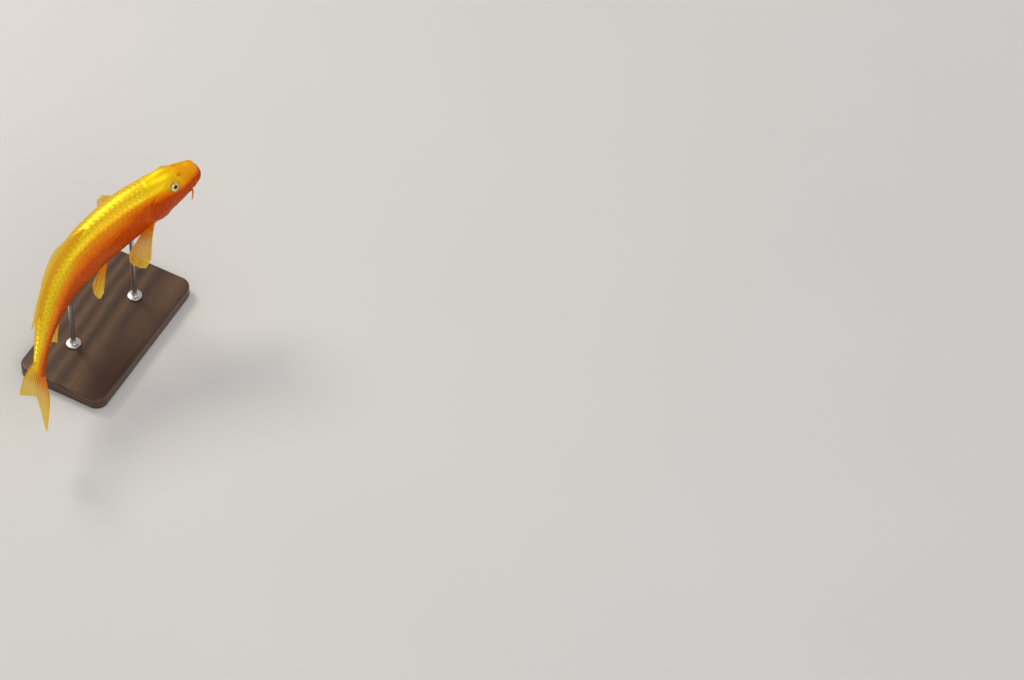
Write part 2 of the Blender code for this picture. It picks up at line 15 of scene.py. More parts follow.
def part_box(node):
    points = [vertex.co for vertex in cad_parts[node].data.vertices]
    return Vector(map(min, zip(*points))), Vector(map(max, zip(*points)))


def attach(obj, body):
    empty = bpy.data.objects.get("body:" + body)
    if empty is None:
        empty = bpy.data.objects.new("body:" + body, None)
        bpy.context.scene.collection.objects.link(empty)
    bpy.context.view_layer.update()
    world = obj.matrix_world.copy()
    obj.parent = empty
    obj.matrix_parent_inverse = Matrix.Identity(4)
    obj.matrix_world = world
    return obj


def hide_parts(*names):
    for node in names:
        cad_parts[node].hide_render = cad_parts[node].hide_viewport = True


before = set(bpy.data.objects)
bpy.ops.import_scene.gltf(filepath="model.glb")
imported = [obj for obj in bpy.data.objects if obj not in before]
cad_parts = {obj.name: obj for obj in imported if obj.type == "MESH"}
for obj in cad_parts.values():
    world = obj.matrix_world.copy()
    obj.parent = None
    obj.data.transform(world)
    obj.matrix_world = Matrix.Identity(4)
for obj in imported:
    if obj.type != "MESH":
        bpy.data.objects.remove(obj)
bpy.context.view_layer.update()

# ------------------------------------------------------------------ the part's own dimensions
TOTAL_LENGTH = 0.420
S = 0.830 * TOTAL_LENGTH
PITCH, ROLL, HEADING = 18.0, 1.5, -31.3
PLACE = (0.1872, -0.0566, 0.2150)
STATIONS = np.array([
    # at     back    belly   half
    (0.000, 0.0375, 0.0395, 0.0305),
    (0.058, 0.0590, 0.0618, 0.0490),
    (0.112, 0.0785, 0.0735, 0.0610),
    (0.195, 0.0915, 0.0945, 0.0685),
    (0.300, 0.1020, 0.1085, 0.0705),
    (0.450, 0.1045, 0.1125, 0.0655),
    (0.720, 0.0800, 0.0790, 0.0430),
    (0.915, 0.0475, 0.0440, 0.0220),
    (1.000, 0.0524, 0.0495, 0.0125),
])
SNOUT_ROUND, SNOUT_BLUNT, FULLNESS = 0.019, 2.8, 0.10
TURN = ((0.00, 0.0), (0.22, 0.0), (0.36, 7.0), (0.50, 15.5), (0.65, 31.5), (0.80, 46.5), (0.92, 54.5), (1.02, 56.5), (1.25, 49.0))
EYE_AT, EYE_ANGLE, EYE_RADIUS, EYE_SUNK = 0.111, 57.0, 0.0082, 0.0055
NOSTRIL_AT, NOSTRIL_ANGLE, MOUTH_CORNER = 0.070, 25.0, 0.050
GILL_CENTRE, GILL_BACK, GILL_FRONT, GILL_TALL = (0.178, -0.012), 0.060, 0.044, 0.068
DORSAL_FROM, DORSAL_TO, DORSAL_RAY, DORSAL_LAST_RAY, DORSAL_LEAN = 0.470, 0.815, 0.128, 0.072, (70.0, 77.0)
ANAL_FROM, ANAL_TO, ANAL_RAY, ANAL_LAST_RAY, ANAL_LEAN = 0.745, 0.815, 0.115, 0.055, (42.0, 62.0)
TAIL_LOBE, TAIL_FORK, TAIL_FAN = 0.222, 0.118, 31.0
PECTORAL = (0.264, 121.0, 0.172, 50.0, 4.0, 0.30, 40.0, 0.020, 0.38, 18.0)
PELVIC = (0.487, 148.0, 0.132, 36.0, 32.0, 0.25, 34.0, 0.011, 0.50, 24.0)

COAT = 0.00045                       # how far the skin lies inside the solids where scales cover it

UP = np.array([0.0, 0.0, 1.0])


# ------------------------------------------------------------------ shape rules
def smooth(at, places, values):
    x, y = np.asarray(places, float), np.asarray(values, float)
    h, d = np.diff(x), np.diff(y) / np.diff(x)
    m = np.zeros(len(x))
    for i in range(1, len(x) - 1):
        if d[i - 1] * d[i] > 0:
            a, b = 2 * h[i] + h[i - 1], h[i] + 2 * h[i - 1]
            m[i] = (a + b) / (a / d[i - 1] + b / d[i])
    m[0], m[-1] = d[0], d[-1]
    t = np.clip(np.asarray(at, float), x[0], x[-1])
    i = np.clip(np.searchsorted(x, t, side="right") - 1, 0, len(x) - 2)
    s = (t - x[i]) / h[i]
    return y[i] * (1 + 2 * s) * (1 - s) ** 2 + m[i] * h[i] * s * (1 - s) ** 2 + y[i + 1] * s * s * (3 - 2 * s) + m[i + 1] * h[i] * s * s * (s - 1)


def step(x):
    x = np.clip(x, 0.0, 1.0)
    return x * x * (3 - 2 * x)


def bell(x, wide):
    return np.exp(-((np.asarray(x) / wide) ** 2))


def rounded(t):
    x = np.clip(1 - np.asarray(t, float) / SNOUT_ROUND, 0.0, 1.0)
    return np.maximum(1 - x**SNOUT_BLUNT, 0.0) ** (1 / SNOUT_BLUNT)


def closing(t):
    """The fleshy end of the stalk, which thins to nothing inside the tail fin."""
    return np.sqrt(np.maximum(1 - np.clip((np.asarray(t, float) - 1.0) / 0.036, 0, 1) ** 2, 0.0))


def back(t):
    return S * smooth(t, STATIONS[:, 0], STATIONS[:, 1]) * rounded(t) * (0.82 + 0.18 * closing(t))


def belly(t):
    return S * smooth(t, STATIONS[:, 0], STATIONS[:, 2]) * rounded(t) * (0.82 + 0.18 * closing(t))


def half(t):
    return S * smooth(t, STATIONS[:, 0], STATIONS[:, 3]) * rounded(t) * (0.05 + 0.95 * closing(t))


_T = np.linspace(0.0, 1.30, 1301)
_A = np.radians(smooth(_T, [p[0] for p in TURN], [p[1] for p in TURN]))
_F = np.stack([np.cos(_A), np.sin(_A), 0 * _A], 1)
_C = np.zeros_like(_F)
_C[1:] = -np.cumsum((_F[1:] + _F[:-1]) / 2 * (_T[1] - _T[0]) * S, axis=0)


def spine(t):
    t = np.asarray(t, float)
    a = np.interp(t, _T, _A)
    c = np.stack([np.interp(t, _T, _C[:, k]) for k in range(3)], -1)
    return c, np.stack([np.cos(a), np.sin(a), 0 * a], -1), np.stack([-np.sin(a), np.cos(a), 0 * a], -1)


def section(t, angle):
    a = np.radians(angle)
    s, c = np.sin(a), np.cos(a)
    across = half(t) * s * (1 + FULLNESS * c * c)
    up = np.where(c > 0, back(t), belly(t)) * c * (1 + FULLNESS * s * s)
    head = step((0.26 - t) / 0.16)
    across = across * (1 + head * (0.05 * np.maximum(-c, 0) * s * s))
    off = np.abs(np.mod(np.asarray(angle, float) + 180.0, 360.0) - 180.0)
    up = up - S * 0.0035 * head * np.exp(-((off / 18.0) ** 2)) * step(t / 0.14)
    return across, up


def surf(t, angle):
    """Points of the smooth body at t and angle, degrees round from the back towards the left flank."""
    t, angle = np.broadcast_arrays(np.asarray(t, float), np.asarray(angle, float))
    across, up = section(t, angle)
    c, _, left = spine(t)
    return c + left * across[..., None] + UP * up[..., None]


def unit(v):
    return v / np.maximum(np.linalg.norm(v, axis=-1, keepdims=True), 1e-12)


def surf_n(t, angle):
    """(points, outward normals) of the smooth body."""
    t, angle = np.broadcast_arrays(np.asarray(t, float), np.asarray(angle, float))
    p = surf(t, angle)
    dt = np.where(t < 0.004, 0.0002, 0.0008)
    pt = surf(np.minimum(t + dt, 1.036), angle) - surf(np.maximum(t - dt, 0.00005), angle)
    pa = surf(t, angle + 0.4) - surf(t, angle - 0.4)
    n = unit(np.cross(pt, pa))
    c, _, left = spine(t)
    # Outward is away from the spine.
    n = n * np.where(((p - c) * n).sum(-1) < 0, -1.0, 1.0)[..., None]
    return p, n


# Arc length round the body, from the lateral line up towards the back, for laying out scales.
LATERAL = 93.0
_GT = np.linspace(0.10, 1.035, 375)
_GA = np.linspace(0.0, 180.0, 181)
_GP = surf(_GT[:, None], _GA[None, :])
_GW = np.concatenate([np.zeros((len(_GT), 1)), np.cumsum(np.linalg.norm(np.diff(_GP, axis=1), axis=2), axis=1)], 1)
_WL = np.array([np.interp(LATERAL, _GA, row) for row in _GW])
_GW = _WL[:, None] - _GW             # positive above the lateral line, falling with the angle


def angle_at(t, w):
    """Angle (0 to 180, either side) at place t and arc length w above the lateral line. Past the midline it runs on."""
    t, w = np.broadcast_arrays(np.asarray(t, float), np.asarray(w, float))
    x = np.clip((t - _GT[0]) / (_GT[1] - _GT[0]), 0, len(_GT) - 1.001)
    i = x.astype(int)
    f = x - i
    out = np.zeros(t.shape)
    flat_i, flat_w, flat_f = i.ravel(), w.ravel(), f.ravel()
    res = np.zeros(len(flat_w))
    order = np.argsort(flat_i, kind="stable")
    bounds = np.searchsorted(flat_i[order], np.arange(len(_GT) + 1))
    for k in range(len(_GT) - 1):
        sel = order[bounds[k]:bounds[k + 1]]
        if len(sel) == 0:
            continue
        both = []
        for q in (k, k + 1):
            row = -_GW[q]
            top, low = row[0], row[-1]
            ws = -flat_w[sel]
            a = np.interp(ws, row, _GA)
            slope0 = (_GA[2] - _GA[0]) / (row[2] - row[0])
            slope1 = (_GA[-1] - _GA[-3]) / (row[-1] - row[-3])
            a = np.where(ws < top, (ws - top) * slope0, a)
            a = np.where(ws > low, 180.0 + (ws - low) * slope1, a)
            both.append(a)
        res[sel] = both[0] * (1 - flat_f[sel]) + both[1] * flat_f[sel]
    out = res.reshape(t.shape)
    return out


def reach_up(t):
    """Arc length from the lateral line to the middle of the back."""
    return np.interp(t, _GT, _GW[:, 0])


def reach_down(t):
    return np.interp(t, _GT, -_GW[:, -1])


# ------------------------------------------------------------------ mesh building
class Build:
    """Gathers islands of one mesh: points, faces with a UV at each corner, point attributes and material slots."""

    def __init__(self, names):
        self.names = names
        self.p, self.f, self.uv, self.m = [], [], [], []
        self.a = {n: [] for n in names}
        self.n = 0

    def add(self, points, faces, corner_uv, slot=0, **attrs):
        points = np.asarray(points, float).reshape(-1, 3)
        faces = np.asarray(faces, int)
        self.p.append(points)
        self.f.append(faces + np.where(faces >= 0, self.n, 0))
        self.uv.append(np.asarray(corner_uv, float))
        self.m.append(np.full(len(faces), slot, int))
        for name in self.names:
            v = attrs.get(name, 0.0)
            self.a[name].append(np.broadcast_to(np.asarray(v, float).reshape(-1) if np.ndim(v) else np.asarray(v, float), (len(points),)))
        self.n += len(points)

    def make(self, name, materials, uv_name="OFBake"):
        p = np.concatenate(self.p)
        faces, uvs, mats = [], [], []
        for f, uv, m in zip(self.f, self.uv, self.m):
            faces.append(f)
            uvs.append(uv)
            mats.append(m)
        total = [(tuple(int(x) for x in row if x >= 0)) for f in faces for row in f]
        mesh = bpy.data.meshes.new(name)
        mesh.from_pydata(p, [], total)
        flat_uv = []
        for f, uv in zip(faces, uvs):
            keep = f >= 0
            flat_uv.append(uv[keep])
        flat_uv = np.concatenate(flat_uv)
        layer = mesh.uv_layers.new(name=uv_name)
        layer.data.foreach_set("uv", flat_uv.astype(np.float32).ravel())
        mesh.polygons.foreach_set("material_index", np.concatenate(mats).astype(np.int32))
        mesh.polygons.foreach_set("use_smooth", np.ones(len(total), bool))
        for key in self.names:
            at = mesh.attributes.new(key, "FLOAT", "POINT")
            at.data.foreach_set("value", np.concatenate(self.a[key]).astype(np.float32))
        for m in materials:
            mesh.materials.append(m)
        mesh.update()
        obj = bpy.data.objects.new(name, mesh)
        bpy.context.scene.collection.objects.link(obj)
        return obj


def grid_faces(rows, cols, wrap=False):
    """Quads of a rows by cols grid of points, closed round in the columns if wrap is set."""
    i, j = np.meshgrid(np.arange(rows - 1), np.arange(cols if wrap else cols - 1), indexing="ij")
    k = (j + 1) % cols
    return np.stack([i * cols + j, i * cols + k, (i + 1) * cols + k, (i + 1) * cols + j], -1).reshape(-1, 4)


def grid_uv(rows, cols, u, v, wrap=False, v_end=None):
    """A UV at each corner of grid_faces. u and v are (rows, cols) arrays; v_end closes the seam of a wrapped grid."""
    i, j = np.meshgrid(np.arange(rows - 1), np.arange(cols if wrap else cols - 1), indexing="ij")
    k = (j + 1) % cols
    last = (j + 1) == cols
    out = np.zeros(i.shape + (4, 2))
    for c, (a, b, edge) in enumerate(((i, j, False), (i, k, True), (i + 1, k, True), (i + 1, j, False))):
        out[..., c, 0] = u[a, b]
        vv = v[a, b]
        if wrap and edge:
            vv = np.where(last, v_end, vv)
        out[..., c, 1] = vv
    return out.reshape(-1, 4, 2)


def outward(points, faces, centre_line=None):
    """Whether the closed island, as its faces run, has a positive volume."""
    tri = np.concatenate([faces[:, [0, 1, 2]], faces[faces[:, 3] >= 0][:, [0, 2, 3]]])
    a, b, c = points[tri[:, 0]], points[tri[:, 1]], points[tri[:, 2]]
    return float(np.einsum("ij,ij->i", a, np.cross(b, c)).sum()) > 0


def flip(faces, uv):
    f, w = faces.copy(), uv.copy()
    quad = faces[:, 3] >= 0
    f[quad], w[quad] = faces[quad][:, ::-1], uv[quad][:, ::-1]
    tri = ~quad
    f[tri, :3], w[tri, :3] = faces[tri][:, [2, 1, 0]], uv[tri][:, [2, 1, 0]]
    return f, w


def add_closed(build, points, faces, uv, slot=0, **attrs):
    if not outward(points, faces):
        faces, uv = flip(faces, uv)
    build.add(points, faces, uv, slot, **attrs)


def plate(build, top, low, box, slot, **attrs):
    """A closed plate from two grids of points, with each side in half of the UV box (u0, v0, u1, v1)."""
    rows, cols = top.shape[:2]
    n = rows * cols
    points = np.concatenate([top.reshape(-1, 3), low.reshape(-1, 3)])
    u0, v0, u1, v1 = box
    mid = (u0 + u1) / 2
    g = 0.003
    ii, jj = np.meshgrid(np.linspace(0, 1, rows), np.linspace(0, 1, cols), indexing="ij")
    ua, va = u0 + g + (mid - u0 - 2 * g) * ii, v0 + g + (v1 - v0 - 2 * g) * jj
    ub = mid + g + (u1 - mid - 2 * g) * ii
    f1 = grid_faces(rows, cols)
    uv1, uv2 = grid_uv(rows, cols, ua, va), grid_uv(rows, cols, ub, va)
    f2 = f1[:, ::-1] + n
    uv2 = uv2[:, ::-1]
    rim = [(0, j) for j in range(cols)] + [(i, cols - 1) for i in range(1, rows)]
    rim += [(rows - 1, j) for j in range(cols - 2, -1, -1)] + [(i, 0) for i in range(rows - 2, 0, -1)]
    rim = np.array(rim)
    a = rim[:, 0] * cols + rim[:, 1]
    b = np.roll(a, -1)
    f3 = np.stack([b, a, n + a, n + b], -1)
    flat_u, flat_v = ua.reshape(-1), va.reshape(-1)
    uv3 = np.stack([np.stack([flat_u[q], flat_v[q]], -1) for q in (b, a, a, b)], 1)
    faces = np.concatenate([f1, f2, f3])
    uv = np.concatenate([uv1, uv2, uv3])
    two = {k: (np.concatenate([np.asarray(v).reshape(-1)] * 2) if np.ndim(v) else v) for k, v in attrs.items()}
    add_closed(build, points, faces, uv, slot, **two)


# ------------------------------------------------------------------ colour rules, shared by skin and scales
def tone_and_shade_of(t, angle):
    """0 on the lemon-gold back, 1 on the underside: the yellow is the fish's own colour, the orange that deepens
    downwards is painted shade.
    """
    a = np.abs(np.mod(np.asarray(angle, float) + 180.0, 360.0) - 180.0)
    edge = smooth(t, (0.0, 0.06, 0.12, 0.17, 0.22, 0.30, 0.40, 0.52, 0.66, 0.85, 1.0), (46.0, 48.0, 50.0, 35.0, 35.0, 26.0, 20.0, 24.0, 40.0, 42.0, 38.0))
    wide = smooth(t, (0.0, 0.12, 0.17, 0.22, 0.30, 0.40, 0.52, 0.66, 0.85, 1.0), (32.0, 26.0, 38.0, 28.0, 46.0, 66.0, 62.0, 48.0, 62.0, 62.0))
    x = (a - edge) / wide
    # Angles run together at the tip of the snout, so there the colour goes by height.
    high = section(t, angle)[1] / S
    by_height = ((0.030 + 0.055 * np.minimum(t, 0.14)) - high) / 0.036
    x = x + (by_height - x) * step((0.13 - t) / 0.06)
    # Painted shade: the snout is a deeper gold than the crown.
    return np.clip(np.maximum(x, 0.0) + 0.30 * step((0.125 - t) / 0.075), 0.0, 1.0)


# ------------------------------------------------------------------ materials
def nodes_of(name):
    m = bpy.data.materials.new(name)
    m.use_nodes = True
    nt = m.node_tree
    return m, nt, nt.nodes["Principled BSDF"]


def node(nt, kind, **values):
    n = nt.nodes.new(kind)
    for k, v in values.items():
        setattr(n, k, v)
    return n


def attribute(nt, name):
    n = node(nt, "ShaderNodeAttribute", attribute_name=name)
    n.attribute_type = "GEOMETRY"
    return n.outputs["Fac"]


def math_node(nt, op, a, b=None, c=None, clamp=False):
    n = node(nt, "ShaderNodeMath", operation=op, use_clamp=clamp)
    for k, v in enumerate((a, b, c)):
        if v is None:
            continue
        if isinstance(v, (int, float)):
            n.inputs[k].default_value = v
        else:
            nt.links.new(v, n.inputs[k])
    return n.outputs[0]


def ramp(nt, fac, stops, mode="LINEAR"):
    n = node(nt, "ShaderNodeValToRGB")
    n.color_ramp.interpolation = mode
    el = n.color_ramp.elements
    while len(el) > 1:
        el.remove(el[-1])
    el[0].position, el[0].color = stops[0][0], (*stops[0][1], 1.0)
    for pos, col in stops[1:]:
        e = el.new(pos)
        e.color = (*col, 1.0)
    nt.links.new(fac, n.inputs[0])
    return n.outputs[0]


def mix(nt, fac, a, b, blend="MIX"):
    n = node(nt, "ShaderNodeMix", data_type="RGBA", blend_type=blend)
    n.clamp_result = True
    if isinstance(fac, (int, float)):
        n.inputs["Factor"].default_value = fac
    else:
        nt.links.new(fac, n.inputs["Factor"])
    for socket, v in (("A", a), ("B", b)):
        s = [i for i in n.inputs if i.name == socket and i.type == "RGBA"][0]
        if isinstance(v, tuple):
            s.default_value = (*v, 1.0)
        else:
            nt.links.new(v, s)
    return [o for o in n.outputs if o.type == "RGBA"][0]


def noise(nt, vector, scale, detail=3.0, rough=0.5, distortion=0.0):
    n = node(nt, "ShaderNodeTexNoise")
    n.inputs["Scale"].default_value = scale
    n.inputs["Detail"].default_value = detail
    n.inputs["Roughness"].default_value = rough
    n.inputs["Distortion"].default_value = distortion
    if vector is not None:
        nt.links.new(vector, n.inputs["Vector"])
    return n.outputs["Fac"]


def object_coords(nt, scale=(1, 1, 1)):
    c = node(nt, "ShaderNodeTexCoord").outputs["Object"]
    if scale == (1, 1, 1):
        return c
    m = node(nt, "ShaderNodeMapping")
    m.inputs["Scale"].default_value = scale
    nt.links.new(c, m.inputs["Vector"])
    return m.outputs[0]


def remap(nt, value, a, b, c=0.0, d=1.0):
    n = node(nt, "ShaderNodeMapRange")
    for k, v in zip(("From Min", "From Max", "To Min", "To Max"), (a, b, c, d)):
        n.inputs[k].default_value = v
    nt.links.new(value, n.inputs["Value"])
    return n.outputs[0]


def bump(nt, height, strength, distance, normal=None):
    n = node(nt, "ShaderNodeBump")
    n.inputs["Strength"].default_value = strength
    n.inputs["Distance"].default_value = distance
    nt.links.new(height, n.inputs["Height"])
    if normal is not None:
        nt.links.new(normal, n.inputs["Normal"])
    return n.outputs[0]


# From the lemon-gold back to the underside: the deepening orange and the dark lowest stops are painted shade.
BODY_AND_SHADE_STOPS = (
    (0.00, (0.930, 0.610, 0.004)),
    (0.15, (0.940, 0.525, 0.004)),
    (0.35, (0.930, 0.340, 0.003)),
    (0.60, (0.960, 0.205, 0.001)),
    (0.85, (0.830, 0.121, 0.0005)),
    (1.00, (0.630, 0.070, 0.0005)),
)


def skin_material():
    m, nt, p = nodes_of("koi_skin_wet")
    co = object_coords(nt)
    tone = attribute(nt, "tone")
    # The yellow back is the fish's colour; the orange deepening towards the underside is painted shade.
    wander = math_node(nt, "MULTIPLY_ADD", noise(nt, co, 38.0, 4.0), 0.22, math_node(nt, "ADD", tone, -0.11))
    col = ramp(nt, wander, BODY_AND_SHADE_STOPS, "EASE")
    # Painted shade: the lower cheeks and gill covers are darker than the flank behind them.
    deep = math_node(nt, "MULTIPLY", attribute(nt, "head"), remap(nt, tone, 0.60, 1.0, 0.0, 0.55))
    col = mix(nt, deep, col, (0.44, 0.036, 0.0003))
    # Warm flushed places: lips, nostrils, gill edges, fin roots; under the head the same warmth is painted shade.
    col = mix(nt, math_node(nt, "MULTIPLY", attribute(nt, "warm"), 0.80), col, (0.66, 0.150, 0.004))
    # Pale patches of reflecting pigment, as on the brow and cheek.
    pale = remap(nt, noise(nt, co, 150.0, 3.0, 0.6), 0.55, 0.80, 0.0, 0.28)
    pale = math_node(nt, "MULTIPLY", pale, remap(nt, tone, 0.0, 0.6, 1.0, 0.25))
    col = mix(nt, pale, col, (1.0, 0.78, 0.16))
    dark = remap(nt, noise(nt, co, 260.0, 3.0, 0.55), 0.55, 0.85, 0.0, 0.14)
    col = mix(nt, dark, col, (0.70, 0.30, 0.004))
    nt.links.new(col, p.inputs["Base Color"])
    nt.links.new(math_node(nt, "MULTIPLY_ADD", attribute(nt, "warm"), 0.22, remap(nt, noise(nt, co, 240.0, 3.0), 0.3, 0.75, 0.36, 0.45)), p.inputs["Roughness"])
    p.inputs["Metallic"].default_value = 0.32
    p.inputs["Specular IOR Level"].default_value = 0.22
    p.inputs["Specular Tint"].default_value = (1.0, 0.62, 0.12, 1.0)
    p.inputs["Coat Weight"].default_value = 0.07
    p.inputs["Coat Roughness"].default_value = 0.12
    p.inputs["Subsurface Weight"].default_value = 0.06
    p.inputs["Subsurface Radius"].default_value = (0.004, 0.0018, 0.0006)
    p.inputs["Subsurface Scale"].default_value = 1.0
    v = node(nt, "ShaderNodeTexVoronoi")
    v.inputs["Scale"].default_value = 620.0
    nt.links.new(co, v.inputs["Vector"])
    pores = remap(nt, v.outputs["Distance"], 0.0, 0.35, 0.0, 1.0)
    n1 = bump(nt, noise(nt, co, 900.0, 3.0, 0.6), 0.03, 0.0004)
    n2 = bump(nt, pores, 0.05, 0.0003, n1)
    n3 = bump(nt, noise(nt, co, 130.0, 2.0, 0.5), 0.04, 0.0012, n2)
    nt.links.new(n3, p.inputs["Normal"])
    return m


def fin_material():
    m, nt, p = nodes_of("koi_fin_wet")
    co = object_coords(nt)
    ray = attribute(nt, "ray")
    far = attribute(nt, "far")
    base = ramp(nt, far, ((0.0, (0.94, 0.49, 0.005)), (0.35, (0.95, 0.56, 0.020)), (1.0, (0.96, 0.66, 0.09))))
    base = mix(nt, math_node(nt, "MULTIPLY", ray, 0.50), base, (0.97, 0.62, 0.025))
    base = mix(nt, remap(nt, noise(nt, co, 210.0, 3.0), 0.50, 0.80, 0.0, 0.26), base, (0.90, 0.44, 0.012))
    base = mix(nt, math_node(nt, "MULTIPLY", attribute(nt, "warm"), 0.95), base, (0.82, 0.170, 0.002))
    nt.links.new(base, p.inputs["Base Color"])
    p.inputs["Roughness"].default_value = 0.36
    p.inputs["Specular IOR Level"].default_value = 0.35
    p.inputs["Specular Tint"].default_value = (1.0, 0.75, 0.30, 1.0)
    p.inputs["Coat Weight"].default_value = 0.14
    p.inputs["Coat Roughness"].default_value = 0.12
    p.inputs["Metallic"].default_value = 0.05
    p.inputs["Subsurface Weight"].default_value = 0.18
    p.inputs["Subsurface Radius"].default_value = (0.0045, 0.0025, 0.0010)
    p.inputs["Subsurface Scale"].default_value = 1.0
    # The web between the rays lets some light and background through, more towards the edge.
    solid = math_node(nt, "MAXIMUM", remap(nt, ray, 0.10, 0.75, 0.0, 1.0), remap(nt, far, 0.10, 0.45, 1.0, 0.0))
    nt.links.new(remap(nt, solid, 0.0, 1.0, 0.56, 1.0), p.inputs["Alpha"])
    joints = node(nt, "ShaderNodeMath", operation="PINGPONG")
    nt.links.new(math_node(nt, "MULTIPLY", attribute(nt, "out"), 1.0), joints.inputs[0])
    joints.inputs[1].default_value = 0.0009
    cut = math_node(nt, "MULTIPLY", remap(nt, joints.outputs[0], 0.0, 0.00025, 0.0, 1.0), ray)
    nt.links.new(bump(nt, cut, 0.20, 0.0003, bump(nt, noise(nt, co, 700.0, 3.0), 0.18, 0.0005)), p.inputs["Normal"])
    return m


def scale_material():
    m, nt, p = nodes_of("koi_scale_ogon")
    co = object_coords(nt)
    tone, lx, ly, ident = (attribute(nt, k) for k in ("tone", "lx", "ly", "ident"))
    # The yellow back is the fish's colour; the orange deepening towards the underside is painted shade.
    wander = math_node(nt, "MULTIPLY_ADD", noise(nt, co, 38.0, 4.0), 0.22, math_node(nt, "ADD", tone, -0.11))
    wander = math_node(nt, "ADD", wander, remap(nt, ident, 0.0, 1.0, -0.05, 0.05))
    col = ramp(nt, wander, BODY_AND_SHADE_STOPS, "EASE")
    upper = remap(nt, tone, 0.05, 0.75, 1.0, 0.22)
    # The pocket in the middle of each exposed scale is duller, its free edge pale and lustrous: together they make the net.
    far = math_node(nt, "SQRT", math_node(nt, "ADD", math_node(nt, "MULTIPLY", lx, lx), math_node(nt, "MULTIPLY", ly, ly)))
    pocket = math_node(nt, "MULTIPLY", remap(nt, math_node(nt, "ABSOLUTE", math_node(nt, "SUBTRACT", lx, 0.05)), 0.0, 0.42, 1.0, 0.0), remap(nt, math_node(nt, "ABSOLUTE", ly), 0.0, 0.62, 1.0, 0.0))
    grain = noise(nt, co, 900.0, 3.0, 0.6)
    pocket = math_node(nt, "MULTIPLY", pocket, remap(nt, grain, 0.3, 0.7, 0.5, 1.2))
    col = mix(nt, math_node(nt, "MULTIPLY", pocket, math_node(nt, "MULTIPLY", upper, 0.36), clamp=True), col, (0.60, 0.39, 0.012))
    rim = remap(nt, far, 0.62, 0.93, 0.0, 1.0)
    col = mix(nt, math_node(nt, "MULTIPLY", rim, math_node(nt, "MULTIPLY", upper, 0.34), clamp=True), col, (1.0, 0.80, 0.16))
    col = mix(nt, math_node(nt, "MULTIPLY", attribute(nt, "warm"), 0.7), col, (0.55, 0.16, 0.01))
    nt.links.new(col, p.inputs["Base Color"])
    p.inputs["Metallic"].default_value = 0.45
    p.inputs["Specular IOR Level"].default_value = 0.22
    p.inputs["Specular Tint"].default_value = (1.0, 0.62, 0.12, 1.0)
    nt.links.new(remap(nt, math_node(nt, "ADD", math_node(nt, "MULTIPLY", ident, 0.4), grain), 0.3, 1.1, 0.27, 0.42), p.inputs["Roughness"])
    p.inputs["Coat Weight"].default_value = 0.07
    p.inputs["Coat Roughness"].default_value = 0.12
    rings = math_node(nt, "SINE", math_node(nt, "MULTIPLY", far, 46.0))
    spokes = math_node(nt, "SINE", math_node(nt, "MULTIPLY", math_node(nt, "ARCTAN2", ly, math_node(nt, "ADD", lx, 0.9)), 60.0))
    fine = math_node(nt, "ADD", math_node(nt, "MULTIPLY", rings, 0.5), math_node(nt, "MULTIPLY", spokes, 0.5))
    n1 = bump(nt, fine, 0.05, 0.00012)
    n2 = bump(nt, noise(nt, co, 800.0, 3.0, 0.6), 0.05, 0.0004, n1)
    nt.links.new(n2, p.inputs["Normal"])
    return m


def eye_material():
    m, nt, p = nodes_of("koi_eye_wet")
    er, ex, ey = (attribute(nt, k) for k in ("er", "ex", "ey"))
    # Fine streaks run out from the pupil, over broader silver and gold clouds.
    vec = node(nt, "ShaderNodeCombineXYZ")
    near = math_node(nt, "MAXIMUM", er, 0.05)
    nt.links.new(math_node(nt, "MULTIPLY", math_node(nt, "DIVIDE", ex, near), 7.0), vec.inputs[0])
    nt.links.new(math_node(nt, "MULTIPLY", math_node(nt, "DIVIDE", ey, near), 7.0), vec.inputs[1])
    nt.links.new(math_node(nt, "MULTIPLY", er, 2.2), vec.inputs[2])
    cloud = node(nt, "ShaderNodeCombineXYZ")
    for k, source in enumerate((ex, ey)):
        nt.links.new(math_node(nt, "MULTIPLY", source, 2.4), cloud.inputs[k])
    streak = math_node(nt, "MULTIPLY_ADD", noise(nt, vec.outputs[0], 1.5, 4.0, 0.6), 0.55, math_node(nt, "MULTIPLY", noise(nt, cloud.outputs[0], 1.0, 3.0, 0.5), 0.45))
    iris = ramp(nt, streak, ((0.30, (0.56, 0.46, 0.13)), (0.50, (0.82, 0.76, 0.36)), (0.70, (0.95, 0.92, 0.60))))
    above = remap(nt, ey, 0.1, 0.9, 0.0, 0.75)
    iris = mix(nt, above, iris, (0.30, 0.17, 0.03))
    ring = remap(nt, er, 0.395, 0.440, 1.0, 0.0)
    col = mix(nt, ring, iris, (0.86, 0.60, 0.12))
    # Painted shade darkens the iris where it runs under the rim of skin.
    col = mix(nt, remap(nt, er, 0.84, 1.02, 0.0, 0.70), col, (0.34, 0.20, 0.03))
    pupil = remap(nt, er, 0.360, 0.378, 1.0, 0.0)
    col = mix(nt, pupil, col, (0.004, 0.004, 0.005))
    # Painted shade: the ball goes dark where it meets the skin, and beyond.
    edge = remap(nt, er, 1.06, 1.16, 0.0, 1.0)
    col = mix(nt, edge, col, (0.10, 0.045, 0.010))
    nt.links.new(col, p.inputs["Base Color"])
    p.inputs["Roughness"].default_value = 0.22
    p.inputs["Specular IOR Level"].default_value = 0.12
    p.inputs["Coat Weight"].default_value = 0.60
    p.inputs["Coat Roughness"].default_value = 0.015
    nt.links.new(math_node(nt, "MULTIPLY", math_node(nt, "SUBTRACT", 1.0, math_node(nt, "MAXIMUM", pupil, edge)), 0.45), p.inputs["Metallic"])
    nt.links.new(bump(nt, streak, 0.07, 0.0002), p.inputs["Normal"])
    return m


